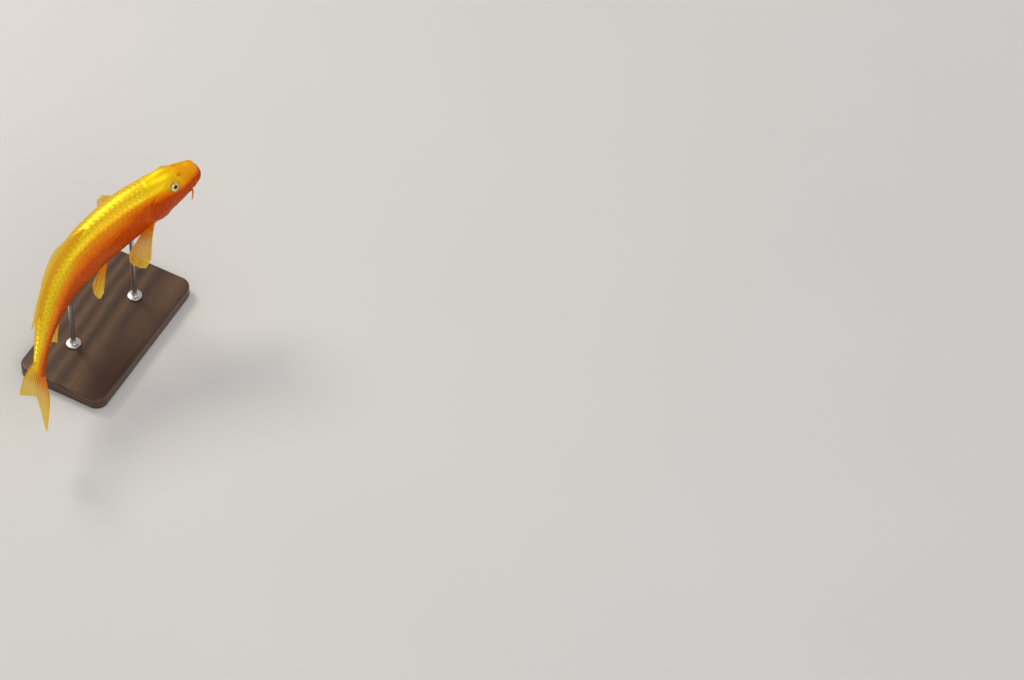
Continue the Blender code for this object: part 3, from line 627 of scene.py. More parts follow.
def wood_material():
    m, nt, p = nodes_of("stand_walnut")
    # Growth rings are cut lengthwise from far below the slab, so they show as long wandering lines.
    place = node(nt, "ShaderNodeMapping")
    place.inputs["Location"].default_value = (0.0, 0.035, -0.150)
    nt.links.new(object_coords(nt, (0.30, 1.0, 1.0)), place.inputs["Vector"])
    w = node(nt, "ShaderNodeTexWave", wave_type="RINGS", rings_direction="X", wave_profile="SIN")
    w.inputs["Scale"].default_value = 40.0
    w.inputs["Distortion"].default_value = 9.0
    w.inputs["Detail"].default_value = 3.0
    w.inputs["Detail Scale"].default_value = 0.15
    w.inputs["Detail Roughness"].default_value = 0.45
    nt.links.new(place.outputs["Vector"], w.inputs["Vector"])
    board = noise(nt, object_coords(nt, (3.0, 24.0, 24.0)), 1.0, 3.0, 0.5)
    fibre = noise(nt, object_coords(nt, (16.0, 520.0, 520.0)), 1.0, 4.0, 0.65)
    pore = noise(nt, object_coords(nt, (70.0, 1300.0, 1300.0)), 1.0, 2.0, 0.5)
    body = math_node(nt, "ADD", math_node(nt, "MULTIPLY", w.outputs["Fac"], 0.36), math_node(nt, "ADD", math_node(nt, "MULTIPLY", board, 0.46), math_node(nt, "MULTIPLY", fibre, 0.18)))
    col = ramp(nt, body, ((0.24, (0.034, 0.015, 0.007)), (0.44, (0.074, 0.035, 0.016)), (0.62, (0.104, 0.052, 0.024)), (0.82, (0.150, 0.080, 0.039))))
    col = mix(nt, remap(nt, pore, 0.56, 0.70, 0.0, 0.60), col, (0.018, 0.008, 0.004))
    nt.links.new(col, p.inputs["Base Color"])
    nt.links.new(remap(nt, fibre, 0.3, 0.7, 0.44, 0.36), p.inputs["Roughness"])
    p.inputs["Specular IOR Level"].default_value = 0.35
    p.inputs["Coat Weight"].default_value = 0.14
    p.inputs["Coat Roughness"].default_value = 0.22
    nt.links.new(bump(nt, pore, 0.06, 0.0002, bump(nt, fibre, 0.05, 0.0002)), p.inputs["Normal"])
    return m


def steel_material():
    m, nt, p = nodes_of("stand_brushed_steel")
    lines = noise(nt, object_coords(nt, (8.0, 8.0, 1500.0)), 1.0, 2.0, 0.5)
    col = ramp(nt, lines, ((0.3, (0.60, 0.60, 0.59)), (0.7, (0.64, 0.64, 0.63))))
    nt.links.new(col, p.inputs["Base Color"])
    p.inputs["Metallic"].default_value = 1.0
    nt.links.new(remap(nt, lines, 0.3, 0.7, 0.27, 0.31), p.inputs["Roughness"])
    nt.links.new(bump(nt, lines, 0.008, 0.00005), p.inputs["Normal"])
    return m


def floor_material():
    m, nt, p = nodes_of("pale_floor")
    co = object_coords(nt)
    col = ramp(nt, noise(nt, co, 1.2, 4.0), ((0.3, (0.70, 0.69, 0.67)), (0.7, (0.735, 0.725, 0.705))))
    nt.links.new(col, p.inputs["Base Color"])
    p.inputs["Roughness"].default_value = 0.62
    nt.links.new(bump(nt, noise(nt, co, 400.0, 3.0), 0.04, 0.0005), p.inputs["Normal"])
    return m


SKIN, FINS, SCALES, EYES, WOOD, STEEL, FLOOR = (
    skin_material(), fin_material(), scale_material(), eye_material(), wood_material(), steel_material(), floor_material())

# ------------------------------------------------------------------ the fish's pose
POSE = Matrix.Translation(PLACE) @ Euler((math.radians(ROLL), math.radians(-PITCH), math.radians(HEADING)), "XYZ").to_matrix().to_4x4()
POSE_N = np.array(POSE)


def posed(points):
    return np.asarray(points) @ POSE_N[:3, :3].T + POSE_N[:3, 3]


def finish_piece(obj, *nodes, slot=None):
    """Puts a piece made in the fish's frame into the room, and rides it on the part."""
    obj.data.transform(POSE)
    obj.data.update()
    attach(obj, "root")
    if nodes:
        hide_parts(*nodes)
    return obj


# ------------------------------------------------------------------ landmarks of the head
def mouth_line(x):
    return -0.0130 - 0.50 * x


def frame_at(t, angle):
    p, n = surf_n(np.array(t), np.array(angle))
    r = unit(surf(np.array(t + 0.004), np.array(angle)) - p)
    r = unit(r - n * float(r @ n))
    d = np.cross(r, n)
    return p, n, r, d * (-1 if d[2] > 0 else 1)


EYE_PLACE = {}
for _side in (1, -1):
    _p, _n, _r, _d = frame_at(EYE_AT, _side * EYE_ANGLE)
    # The part takes the ball's axis square to the way back along the head, and so does the skin.
    EYE_PLACE[_side] = (_p, _n, _r, _d, _p - _n * EYE_SUNK)


def cover_rise(back_by, up_by):
    """0 at the front of a gill cover, 1 behind; its top runs into the head further back."""
    high = step((up_by + 0.15) / 0.70)
    return step((back_by + 0.62 - 0.52 * high) / (0.80 - 0.22 * high))


def relief(t, angle, p, n, sunk=1.0):
    """How far the skin stands out of the smooth head, in metres: lips, nostrils, brows, cheeks, gill slits and throat.

    sunk is 0 for the rims of the eyes, which lie on this relief and don't dive under the balls.
    """
    x, z = t, p[..., 2] / S
    side = np.where(np.mod(angle, 360.0) < 180.0, 1.0, -1.0)
    a = np.abs(np.mod(angle + 180.0, 360.0) - 180.0)
    d = np.zeros(t.shape)
    # lips
    away = z - mouth_line(x)
    on = step((MOUTH_CORNER + 0.006 - x) / 0.012)
    d += 0.0012 * bell(np.abs(away) - 0.0078, 0.0052) * on
    d -= 0.0019 * bell(away + 0.0006, 0.0026) * step((MOUTH_CORNER + 0.003 - x) / 0.006)
    d -= 0.0011 * step(-away / 0.0045) * step((0.046 + away) / 0.026) * step((MOUTH_CORNER + 0.014 - x) / 0.022)
    d -= 0.00070 * bell(away - 0.0190, 0.0036) * step((MOUTH_CORNER + 0.010 - x) / 0.014)
    d -= 0.00060 * bell(away + 0.0185, 0.0040) * step((MOUTH_CORNER + 0.008 - x) / 0.014)
    # the fold behind the corner of the mouth
    cx, cz = MOUTH_CORNER + 0.0045, float(mouth_line(MOUTH_CORNER)) - 0.001
    d -= 0.0011 * bell(x - cx - 0.12 * (z - cz), 0.0030) * bell(z - cz, 0.0135)
    d += 0.0007 * bell(x - cx - 0.010, 0.0060) * bell(z - cz + 0.002, 0.016)
    # nostrils: a front pit with a raised rim, a flap of skin, and a larger hind pit
    for s in (1, -1):
        fp, fn, fr, fd = frame_at(NOSTRIL_AT - 0.0050, s * (NOSTRIL_ANGLE - 1.5))
        hp, hn, hr, hd = frame_at(NOSTRIL_AT + 0.0048, s * (NOSTRIL_ANGLE + 3.0))
        mp, mn, mr, md = frame_at(NOSTRIL_AT, s * NOSTRIL_ANGLE)
        for q, radius, deep in ((fp, 0.0012, 0.0014), (hp, 0.0016, 0.0018)):
            away2 = np.linalg.norm(p - q, axis=-1)
            d -= deep * bell(away2, radius)
            d += 0.00035 * bell(away2 - radius * 1.75, 0.0007)
        along = ((p - mp) * mr).sum(-1)
        across = ((p - mp) * md).sum(-1)
        flap_far = np.linalg.norm(p - mp, axis=-1)
        d += 0.0010 * bell(along + 0.10 * across, 0.00055) * bell(across, 0.0019) * (flap_far < 0.006)
        # the hollow round the nostrils
        d -= 0.0005 * bell(flap_far, 0.0060)
    # eyes: the skin dives under the ball, with a shallow moat outside the rim
    for s in (1, -1):
        ep, en, er, ed, ec = EYE_PLACE[s]
        v = p - ep
        up_n = (v * en).sum(-1)
        rho = np.linalg.norm(v - up_n[..., None] * en, axis=-1)
        near = np.abs(up_n) < 0.012
        d -= np.where(near, 0.0034 * sunk * step((0.0079 - rho) / 0.0030), 0.0)
        d -= np.where(near, 0.00035 * bell(rho - 0.0108, 0.0014), 0.0)
        # brow above and the soft bag below
        high = (v * ed).sum(-1)
        d += np.where(near, 0.0010 * bell(high + 0.0125, 0.0040) * bell((v * er).sum(-1), 0.0120), 0.0)
        d += np.where(near, 0.0005 * bell(high - 0.0130, 0.0030) * bell((v * er).sum(-1) - 0.001, 0.0100), 0.0)
        # a crease from the eye towards the cheek
        lower = step((high + 0.002) / 0.006)
        d -= np.where(near, 0.00028 * bell(rho - 0.0172, 0.0010) * lower, 0.0)
    # the edge of the cheek plate, and the cheek's own swell before it
    edge = 0.1520 - 3.4 * (z + 0.008) ** 2
    band = step((0.052 - np.abs(z + 0.010)) / 0.016)
    d -= 0.00055 * bell(x - edge, 0.0026) * band
    d += 0.00050 * bell(x - edge + 0.0085, 0.0070) * band
    # snout: a saddle behind the upper lip, and the long ridge of the brow
    d -= 0.0006 * bell(x - 0.040, 0.012) * step((52.0 - a) / 30.0)
    d += 0.0005 * bell(a - 30.0, 9.0) * bell(x - 0.132, 0.035)
    d -= 0.0005 * bell(a, 9.0) * step((x - 0.070) / 0.03) * step((0.200 - x) / 0.03)
    # where the bare head stops at the nape
    nape = 0.198 + 0.018 * (a / 50.0) ** 2
    d -= 0.00016 * bell(x - nape - 0.002, 0.0040) * step((58.0 - a) / 16.0)
    d += 0.00012 * bell(x - nape + 0.008, 0.0080) * step((58.0 - a) / 16.0)
    # throat: the gill membranes' folds and the isthmus between them
    under = step((a - 128.0) / 14.0)
    for k, amp in ((0, 0.00034), (1, 0.00026), (2, 0.00018)):
        line = 141.0 + 11.0 * k + 60.0 * (x - 0.175)
        d -= amp * bell(a - line, 2.2) * step((x - 0.105) / 0.06) * step((0.232 - x) / 0.02) * under
        d += amp * 0.6 * bell(a - line - 5.0, 4.0) * step((x - 0.105) / 0.06) * step((0.232 - x) / 0.02) * under
    d -= 0.0008 * bell(a - 180.0, 4.0) * step((x - 0.060) / 0.03) * step((0.21 - x) / 0.03)
    # the gill slit: a trench just behind the cover's free edge
    gx, gz = x - GILL_CENTRE[0], z - GILL_CENTRE[1]
    along = np.where(gx > 0, GILL_BACK, GILL_FRONT)
    rho_g = np.sqrt((gx / along) ** 2 + (gz / GILL_TALL) ** 2)
    behind = step((gx + 0.004) / 0.02)
    d += 0.00080 * cover_rise(gx / along, gz / GILL_TALL) * step((1.0 - rho_g) / 0.12)
    d -= 0.0011 * bell(rho_g - 1.035, 0.055) * behind
    return d


def warm_of(t, angle, p):
    """Flushed places, and painted shade under the head, 0 to 1."""
    x, z = t, p[..., 2] / S
    a = np.abs(np.mod(angle + 180.0, 360.0) - 180.0)
    w = 0.50 * bell(z - mouth_line(x), 0.0085) * step((MOUTH_CORNER + 0.010 - x) / 0.012)
    for s in (1, -1):
        q = frame_at(NOSTRIL_AT, s * NOSTRIL_ANGLE)[0]
        w = w + 0.80 * bell(np.linalg.norm(p - q, axis=-1), 0.0034)
        ep = EYE_PLACE[s][0]
        w = w + 0.35 * bell(np.linalg.norm(p - ep, axis=-1) - 0.0085, 0.0030)
    gx, gz = x - GILL_CENTRE[0], z - GILL_CENTRE[1]
    along = np.where(gx > 0, GILL_BACK, GILL_FRONT)
    rho_g = np.sqrt((gx / along) ** 2 + (gz / GILL_TALL) ** 2)
    w = w + 0.7 * bell(rho_g - 1.04, 0.07) * step((gx + 0.004) / 0.02)
    # Painted shade: the underside of the head.
    w = w + 0.35 * step((a - 118.0) / 40.0) * step((0.25 - x) / 0.05)
    return np.clip(w, 0, 1)


# ------------------------------------------------------------------ the skin
skin = Build(("tone", "warm", "ray", "far", "out", "head"))
AROUND = 248
tip = SNOUT_ROUND * (1 - (1 - np.linspace(0.02, 0.985, 50) ** SNOUT_BLUNT) ** (1 / SNOUT_BLUNT))
head_rows = np.concatenate([tip, np.arange(tip[-1] + 0.0015, 0.262, 0.00185)])
trunk_rows = np.linspace(0.262, 1.0, 47)[1:]
end_rows = 1.0 + 0.036 * np.sin(np.linspace(0, np.pi / 2, 9)[1:-1])
rows = np.concatenate([head_rows, trunk_rows, end_rows])
ang = np.arange(AROUND) * 360.0 / AROUND
TT, AA = np.meshgrid(rows, ang, indexing="ij")
P, N = surf_n(TT, AA)
FOLD = np.abs(np.mod(AA + 180.0, 360.0) - 180.0)


def scale_start(a):
    """Where scales begin, by angle from the back: the nape, down behind the gill cover, to the breast."""
    return smooth(a, (0, 30, 55, 75, 95, 120, 140, 160, 180), (0.194, 0.200, 0.208, 0.217, 0.221, 0.221, 0.219, 0.216, 0.214))


inset = COAT * step((TT - scale_start(FOLD) + 0.004) / 0.010)
D = np.where(TT < 0.30, relief(TT, AA, P, N), 0.0) - inset
SP = P + N * D[..., None]
u_of = np.interp(rows, [0.0, 0.262, 1.036], [0.004, 0.405, 0.660])
U = np.repeat(u_of[:, None], AROUND, 1)
V = 0.004 + 0.992 * AA / 360.0
faces = grid_faces(len(rows), AROUND, True)
uv = grid_uv(len(rows), AROUND, U, V, True, 0.996)
points = SP.reshape(-1, 3)
stern = spine(np.array(1.036))[0]
# The tip of the snout takes the mean of its first ring, so that the mouth's groove runs on over it.
nose = SP[0].mean(0)
points = np.concatenate([points, [nose, stern]])
j = np.arange(AROUND)
k = (j + 1) % AROUND
last = (len(rows) - 1) * AROUND
cap1 = np.stack([np.full(AROUND, len(points) - 2), k, j, np.full(AROUND, -1)], -1)
cap2 = np.stack([np.full(AROUND, len(points) - 1), last + j, last + k, np.full(AROUND, -1)], -1)
vj, vk = 0.004 + 0.992 * j / AROUND, 0.004 + 0.992 * (j + 1) / AROUND


def cap_uv(u_ring, u_tip, first, second):
    z = np.zeros(AROUND)
    return np.stack([np.stack([z + u_tip, (vj + vk) / 2], -1), np.stack([z + u_ring, first], -1), np.stack([z + u_ring, second], -1), np.zeros((AROUND, 2))], 1)


faces = np.concatenate([faces, cap1, cap2])
uv = np.concatenate([uv, cap_uv(u_of[0], 0.001, vk, vj), cap_uv(u_of[-1], 0.663, vj, vk)])
tone = np.append(tone_and_shade_of(TT, AA).ravel(), [0.3, 0.5])
warm = np.append(np.where(TT < 0.30, warm_of(TT, AA, P), 0.0).ravel(), [0.6, 0.0])
add_closed(skin, points, faces, uv, 0, tone=tone, warm=warm, head=np.append(step((0.262 - TT) / 0.03).ravel(), [1.0, 0.0]))


# The gill covers: free plates over the head, sunk at the front and proud behind, with a thin soft margin.
def cover(side, box):
    rings, turn = 36, 104
    rho = np.concatenate([np.linspace(0.02, 0.90, 23), 0.90 + 0.15 * np.linspace(0, 1, rings - 23 + 1)[1:]])
    phi = np.arange(turn) * 2 * math.pi / turn
    R, PH = np.meshgrid(rho, phi, indexing="ij")
    c, s = np.cos(PH), np.sin(PH)
    along = np.where(c > 0, GILL_BACK, GILL_FRONT) * (1 - 0.10 * np.maximum(c, 0) * np.abs(np.sin(2 * PH)))
    X = GILL_CENTRE[0] + along * R * c
    Z = (GILL_CENTRE[1] + GILL_TALL * R * s) * S
    fine = np.linspace(0, 180, 721)
    A = np.zeros(X.shape)
    flat_x, flat_z = X.ravel(), Z.ravel()
    ts = np.linspace(0.10, 0.27, 86)
    table = np.array([section(np.full(721, q), fine)[1] for q in ts])
    out = np.zeros(flat_x.shape)
    pos = np.clip((flat_x - ts[0]) / (ts[1] - ts[0]), 0, len(ts) - 1.001)
    for m in range(len(flat_x)):
        i0 = int(pos[m])
        f = pos[m] - i0
        row = table[i0] * (1 - f) + table[i0 + 1] * f
        out[m] = np.interp(-flat_z[m], -row, fine)
    A = out.reshape(X.shape)
    p, n = surf_n(X, side * A)
    rear = cover_rise(c * R, s * R)
    bone = 0.00125 * rear - 0.00032 * (1 - rear)
    swell = 0.0006 * (1 - R**2) * rear
    # the bone ends at 0.93 of the outline; past it the margin is thin
    margin = step((R - 0.925) / 0.035)
    top = bone + swell - margin * (0.00045 * rear + 0.00035 * (1 - rear))
    top = top - 0.0009 * step((R - 1.0) / 0.05) ** 2 * rear
    # growth lines fan from the hinge at the top front
    hx, hz = GILL_CENTRE[0] - 0.030, GILL_CENTRE[1] + 0.050
    way = np.arctan2(Z / S - hz, X - hx)
    dist = np.hypot(Z / S - hz, X - hx)
    top = top + 0.00006 * np.sin(way * 34.0) * step(dist / 0.03) * (1 - margin) * rear
    top = top + 0.00007 * np.sin(dist * 900.0) * (1 - margin) * rear
    top = top - 0.0004 * bell(way + 0.62, 0.035) * step(dist / 0.04) * (1 - margin) * rear   # the suture below the main plate
    P1 = p + n * top[..., None]
    rings_n = len(rho)
    centre_i = P1[0].mean(0)
    under_h = top[-1] - 0.0007
    edge = p[-1] + n[-1] * under_h[:, None]
    deep = p[-1] * 0.3 + p[int(rings_n * 0.75)] * 0.7
    inner = p[int(rings_n * 0.62)] + n[int(rings_n * 0.62)] * (-0.0012)
    centre_low = inner.mean(0)
    pts = np.concatenate([P1.reshape(-1, 3), edge, inner, [centre_i, centre_low]])
    f = grid_faces(rings_n + 2, turn, True)
    u0, v0, u1, v1 = box
    rr = np.concatenate([rho / rho[-1] * 0.93, [0.955, 0.985]])
    UU = (u0 + u1) / 2 + (u1 - u0) / 2 * 0.98 * rr[:, None] * np.cos(phi)[None, :]
    VV = (v0 + v1) / 2 + (v1 - v0) / 2 * 0.98 * rr[:, None] * np.sin(phi)[None, :]
    uvg = np.zeros((rings_n + 1, turn, 4, 2))
    jj = np.arange(turn)
    kk = (jj + 1) % turn
    for q, (di, col) in enumerate(((0, jj), (0, kk), (1, kk), (1, jj))):
        uvg[:, :, q, 0] = UU[di:rings_n + 1 + di][:, col]
        uvg[:, :, q, 1] = VV[di:rings_n + 1 + di][:, col]
    uvg = uvg.reshape(-1, 4, 2)
    nn = len(pts)
    cap_a = np.stack([np.full(turn, nn - 2), kk, jj, np.full(turn, -1)], -1)
    base = (rings_n + 1) * turn
    cap_b = np.stack([np.full(turn, nn - 1), base + jj, base + kk, np.full(turn, -1)], -1)
    mid = np.array([(u0 + u1) / 2, (v0 + v1) / 2])
    ua = np.zeros((turn, 4, 2))
    ua[:, 0] = mid
    ua[:, 1] = np.stack([UU[0, kk], VV[0, kk]], -1)
    ua[:, 2] = np.stack([UU[0, jj], VV[0, jj]], -1)
    ub = np.zeros((turn, 4, 2))
    ub[:, 0] = np.stack([UU[-1, jj], VV[-1, jj]], -1)
    ub[:, 1] = np.stack([UU[-1, jj], VV[-1, jj]], -1)
    ub[:, 2] = np.stack([UU[-1, kk], VV[-1, kk]], -1)
    to = tone_and_shade_of(X, A)
    # The margin is flushed; the cover's lower part carries the painted shade of the head's underside.
    wa = np.clip(0.42 * margin * rear + 0.35 * step((A - 118.0) / 40.0), 0, 1)
    to = np.concatenate([to.ravel(), to[-1], to[-1], [to[0].mean()] * 2])
    wa = np.concatenate([wa.ravel(), wa[-1], wa[-1], [0.0, 0.5]])
    add_closed(skin, pts, np.concatenate([f, cap_a, cap_b]), np.concatenate([uvg, ua, ub]), 0, tone=to, warm=wa, head=1.0)


cover(1, (0.672, 0.835, 0.830, 0.995))
cover(-1, (0.837, 0.835, 0.995, 0.995))


# The rim round each eye: a soft ring whose inner slope rests on the ball.
def eye_rim(side, box):
    ep, en, er, ed, ec = EYE_PLACE[side]
    # (distance from the ball's axis, height over the relief of the head): it runs out under the skin almost level with it
    prof = np.array([(0.0052, -0.0020), (0.0056, -0.0009), (0.0059, -0.0002), (0.00625, 0.00032), (0.0067, 0.00058), (0.0072, 0.00060), (0.0077, 0.00045),
                     (0.0082, 0.00027), (0.0088, 0.00011), (0.0094, 0.00002), (0.0100, -0.00004), (0.0106, -0.00009), (0.0110, -0.0008)])
    turn = 72
    ph = np.arange(turn) * 2 * math.pi / turn
    pt = np.linalg.norm(surf(np.array(EYE_AT + 0.002), np.array(side * EYE_ANGLE)) - surf(np.array(EYE_AT - 0.002), np.array(side * EYE_ANGLE))) / 0.004
    pa = np.linalg.norm(surf(np.array(EYE_AT), np.array(side * EYE_ANGLE + 1.0)) - surf(np.array(EYE_AT), np.array(side * EYE_ANGLE - 1.0))) / 2.0
    R, PH = np.meshgrid(prof[:, 0], ph, indexing="ij")
    t = EYE_AT + R * np.cos(PH) / pt
    a = side * (EYE_ANGLE + R * np.sin(PH) / pa)
    # slide each point so that its distance from the ball's axis is exactly its own
    for _ in range(3):
        p = surf(t, a)
        v = p - ep
        flat = v - (v @ en)[..., None] * en
        f = R / np.maximum(np.linalg.norm(flat, axis=-1), 1e-6)
        t = EYE_AT + (t - EYE_AT) * f
        a = side * EYE_ANGLE + (a - side * EYE_ANGLE) * f
    p, n = surf_n(t, a)
    h = np.repeat(prof[:, 1][:, None], turn, 1) + relief(t, a, p, n, 0.0)
    pts = p + n * h[..., None]
    low = p[[0, -1]] - n[[0, -1]] * 0.0032
    pts = np.concatenate([pts, low[1:2], low[0:1]])
    rows_n = len(pts)
    f1 = grid_faces(rows_n, turn, True)
    closing_f = np.stack([(rows_n - 1) * turn + np.arange(turn), (rows_n - 1) * turn + (np.arange(turn) + 1) % turn, (np.arange(turn) + 1) % turn, np.arange(turn)], -1)
    u0, v0, u1, v1 = box
    UU = np.repeat(np.linspace(u0, u1, rows_n + 1)[:, None], turn, 1)
    VV = np.repeat((v0 + (v1 - v0) * np.arange(turn) / turn)[None, :], rows_n + 1, 0)
    uv1 = grid_uv(rows_n + 1, turn, UU, VV, True, v1)
    faces_all = np.concatenate([f1, closing_f])
    a_full = np.concatenate([np.abs(a), np.abs(a[-1:]), np.abs(a[:1])])
    t_full = np.concatenate([t, t[-1:], t[:1]])
    wa = 0.45 * bell(R - 0.0062, 0.0011) + warm_of(t, a, p)
    wa = np.clip(np.concatenate([wa, wa[-1:], wa[:1]]), 0, 1)
    add_closed(skin, pts.reshape(-1, 3), faces_all, uv1, 0, tone=tone_and_shade_of(t_full, a_full).ravel(), warm=wa.ravel(), head=1.0)


eye_rim(1, (0.672, 0.800, 0.740, 0.830))
eye_rim(-1, (0.745, 0.800, 0.813, 0.830))


# ------------------------------------------------------------------ fins
def grid_normals(mid):
    du, dv = np.gradient(mid, axis=0), np.gradient(mid, axis=1)
    return unit(np.cross(du, dv))


def rays_of(r, u, count, fork=0.45, wide=0.145):
    """How much of a ray is at each place of a fin: 1 on its ridge, 0 on the web. Rays fork towards the margin."""
    c = r * (count - 1)
    f = c - np.round(c)
    b = 0.21 * step((u - fork) / (0.98 - fork))
    w = wide * (1 - 0.35 * u)
    return np.maximum(bell(f - b, w), bell(f + b, w)), f


def web(build, mid, r, u, reach, count, box, root_thick, root_fade, lead=1.7, wave=0.0003, amp=0.00017, extra=None, seed=1.0, flush=0.5):
    """A fin's two faces from its middle surface: a fleshy root, rays standing out of a thin web, a stiff leading ray."""
    n = grid_normals(mid)
    ray, f = rays_of(r, u, count)
    grow = np.clip(reach / 0.006, 0, 1)
    stiff = 1 + lead * bell(r * (count - 1), 0.8)
    core = root_thick * np.exp(-np.maximum(reach, 0) / root_fade) + 0.00030 * (1 - 0.45 * u)
    if extra is not None:
        core = core + extra
    ridge = amp * stiff * ray * (1 - 0.62 * u) * grow
    drift = wave * np.sin(f * 2 * np.pi * 0.5 + r * 23.0 * seed) * step(u / 0.8) + 0.0011 * np.sin(r * 9.0 * seed + 2.0 * u) * u * u
    thick = core + ridge
    thick[-1] *= 0.35                                     # the free margin thins out
    top = mid + n * (thick + drift)[..., None]
    low = mid + n * (-thick + drift)[..., None]
    far = np.clip(u, 0, 1)
    plate(build, top, low, box, 1, tone=0.0, warm=np.exp(-((np.maximum(reach, 0) / (0.004 + 0.014 * flush)) ** 1.3)) * flush, ray=ray * grow, far=far * np.clip(reach / 0.004, 0, 1), out=reach)


def margin(r, count, deep=0.024, seed=0.0):
    """The scalloped outline: the web draws back between the rays, and no two rays end level."""
    c = r * (count - 1)
    f = c - np.round(c)
    worn = 0.008 * np.sin(c * 0.83 + seed) + 0.006 * np.sin(c * 1.9 + seed * 2)
    return 1 - deep * (2 * np.abs(f)) ** 2 * 0.8 + worn


def median_fin(start, end, first, last_ray, lean, side, hollow, drift, count, box, cols_per_ray, rows_n):
    r = np.linspace(0, 1, (count - 1) * cols_per_ray + 1)
    u = np.concatenate([np.linspace(0, 0.12, 6)[:-1], np.linspace(0.12, 1, rows_n)])
    root = start + (end - start) * r
    length = S * (first + (last_ray - first) * (1 - (1 - r) ** hollow))
    length = length * (0.80 + 0.20 * step(r / 0.05)) * (1.0 + 0.16 * step((r - 0.86) / 0.14)) * margin(r, count, 0.024 if count > 12 else 0.010, side * 1.3) * 0.992
    tilt = np.radians(lean[0] + (lean[1] - lean[0]) * r)
    sink = 0.0045
    reach = -sink + (length[None, :] + sink) * u[:, None]
    edge = np.where(side > 0, back(root), belly(root))
    t = root[None, :] + reach * np.sin(tilt)[None, :] / S * (0.9 + 0.1 * u[:, None])
    up = side * (edge[None, :] + reach * np.cos(tilt)[None, :])
    across = drift * (np.maximum(reach, 0) / (first * S)) ** 1.6 * (0.4 + 0.6 * r[None, :])
    c, _, left = spine(t)
    mid = c + left * across[..., None] + UP * up[..., None]
    Rg, Ug = np.broadcast_to(r[None, :], mid.shape[:2]), np.broadcast_to(u[:, None], mid.shape[:2])
    web(skin, mid, Rg, Ug, reach, count, box, 0.0021, 0.0042, flush=0.35 if side > 0 else 0.9)


median_fin(DORSAL_FROM, DORSAL_TO, DORSAL_RAY, DORSAL_LAST_RAY, DORSAL_LEAN, 1, 2.6, 0.010, 21, (0.670, 0.660, 0.998, 0.795), 5, 24)
median_fin(ANAL_FROM, ANAL_TO, ANAL_RAY, ANAL_LAST_RAY, ANAL_LEAN, -1, 1.7, 0.006, 8, (0.670, 0.600, 0.998, 0.655), 6, 18)


def tail_fin(box, count=23, cols_per_ray=5, rows_n=28):
    m = (count - 1) * cols_per_ray + 1
    q = np.linspace(-1, 1, m)
    r = np.sin(np.pi / 2 * q)
    u = np.concatenate([[0.0], np.linspace(0, 1, rows_n)[1:] ** 1.1])
    length = S * (TAIL_FORK + (TAIL_LOBE - TAIL_FORK) * np.abs(r) ** 1.25) * (1 - 0.26 * step((np.abs(r) - 0.86) / 0.14))
    length = length * margin((q + 1) / 2, count, 0.011) * 0.992
    fan = np.radians(TAIL_FAN) * np.sign(r) * np.abs(r) ** 0.9
    tall = np.where(r > 0, back(np.array(1.0)), belly(np.array(1.0)))
    root_up = tall * np.sin(np.radians(90) * r) * 0.93
    curl = 1.0 + 0.10 * u[:, None]
    along = length[None, :] * u[:, None] * np.cos(fan)[None, :]
    up = root_up[None, :] + length[None, :] * u[:, None] * np.sin(fan)[None, :] * curl
    t = 1.0 + along / S
    across = 0.004 * np.sin(np.pi * u[:, None]) * r[None, :]
    c, _, left = spine(t)
    mid = c + left * across[..., None] + UP * up[..., None]
    wide = half(np.array(1.0)) * np.sqrt(np.maximum(1 - (root_up / (tall * 1.05)) ** 2, 0.02))
    extra = wide[None, :] * 0.80 * np.exp(-((along / 0.0105) ** 1.5))
    Rg, Ug = np.broadcast_to(((q + 1) / 2)[None, :], mid.shape[:2]), np.broadcast_to(u[:, None], mid.shape[:2])
    n = grid_normals(mid)
    ray, f = rays_of(Rg, Ug, count, 0.38)
    outer = 1 + 1.4 * bell((1 - np.abs(q)) * (count - 1) / 2, 1.6)[None, :]
    ridge = 0.00024 * outer * ray * (1 - 0.62 * Ug) * np.clip(along / 0.010, 0, 1)
    thick = extra + 0.00034 * (1 - 0.4 * Ug) + ridge
    thick[-1] *= 0.35
    drift = (0.0004 * np.sin(f * np.pi + Rg * 31.0) * step(Ug / 0.8) + 0.0012 * np.sin(Rg * 8.0) * Ug**2)
    # The fleshy root of the tail is warmed to match the body's painted shade beside it.
    flesh = np.exp(-((np.maximum(along - 0.010, 0) / 0.016) ** 1.3)) * np.clip(1.45 * tone_and_shade_of(np.ones_like(r), 90.0 * (1 - r)), 0.03, 1)[None, :]
    plate(skin, mid + n * (thick + drift)[..., None], mid + n * (-thick + drift)[..., None], box, 1, tone=0.0,
          warm=flesh, ray=ray * np.clip(along / 0.008, 0, 1), far=Ug * np.clip(along / 0.012, 0, 1), out=along)


tail_fin((0.670, 0.395, 0.998, 0.595))


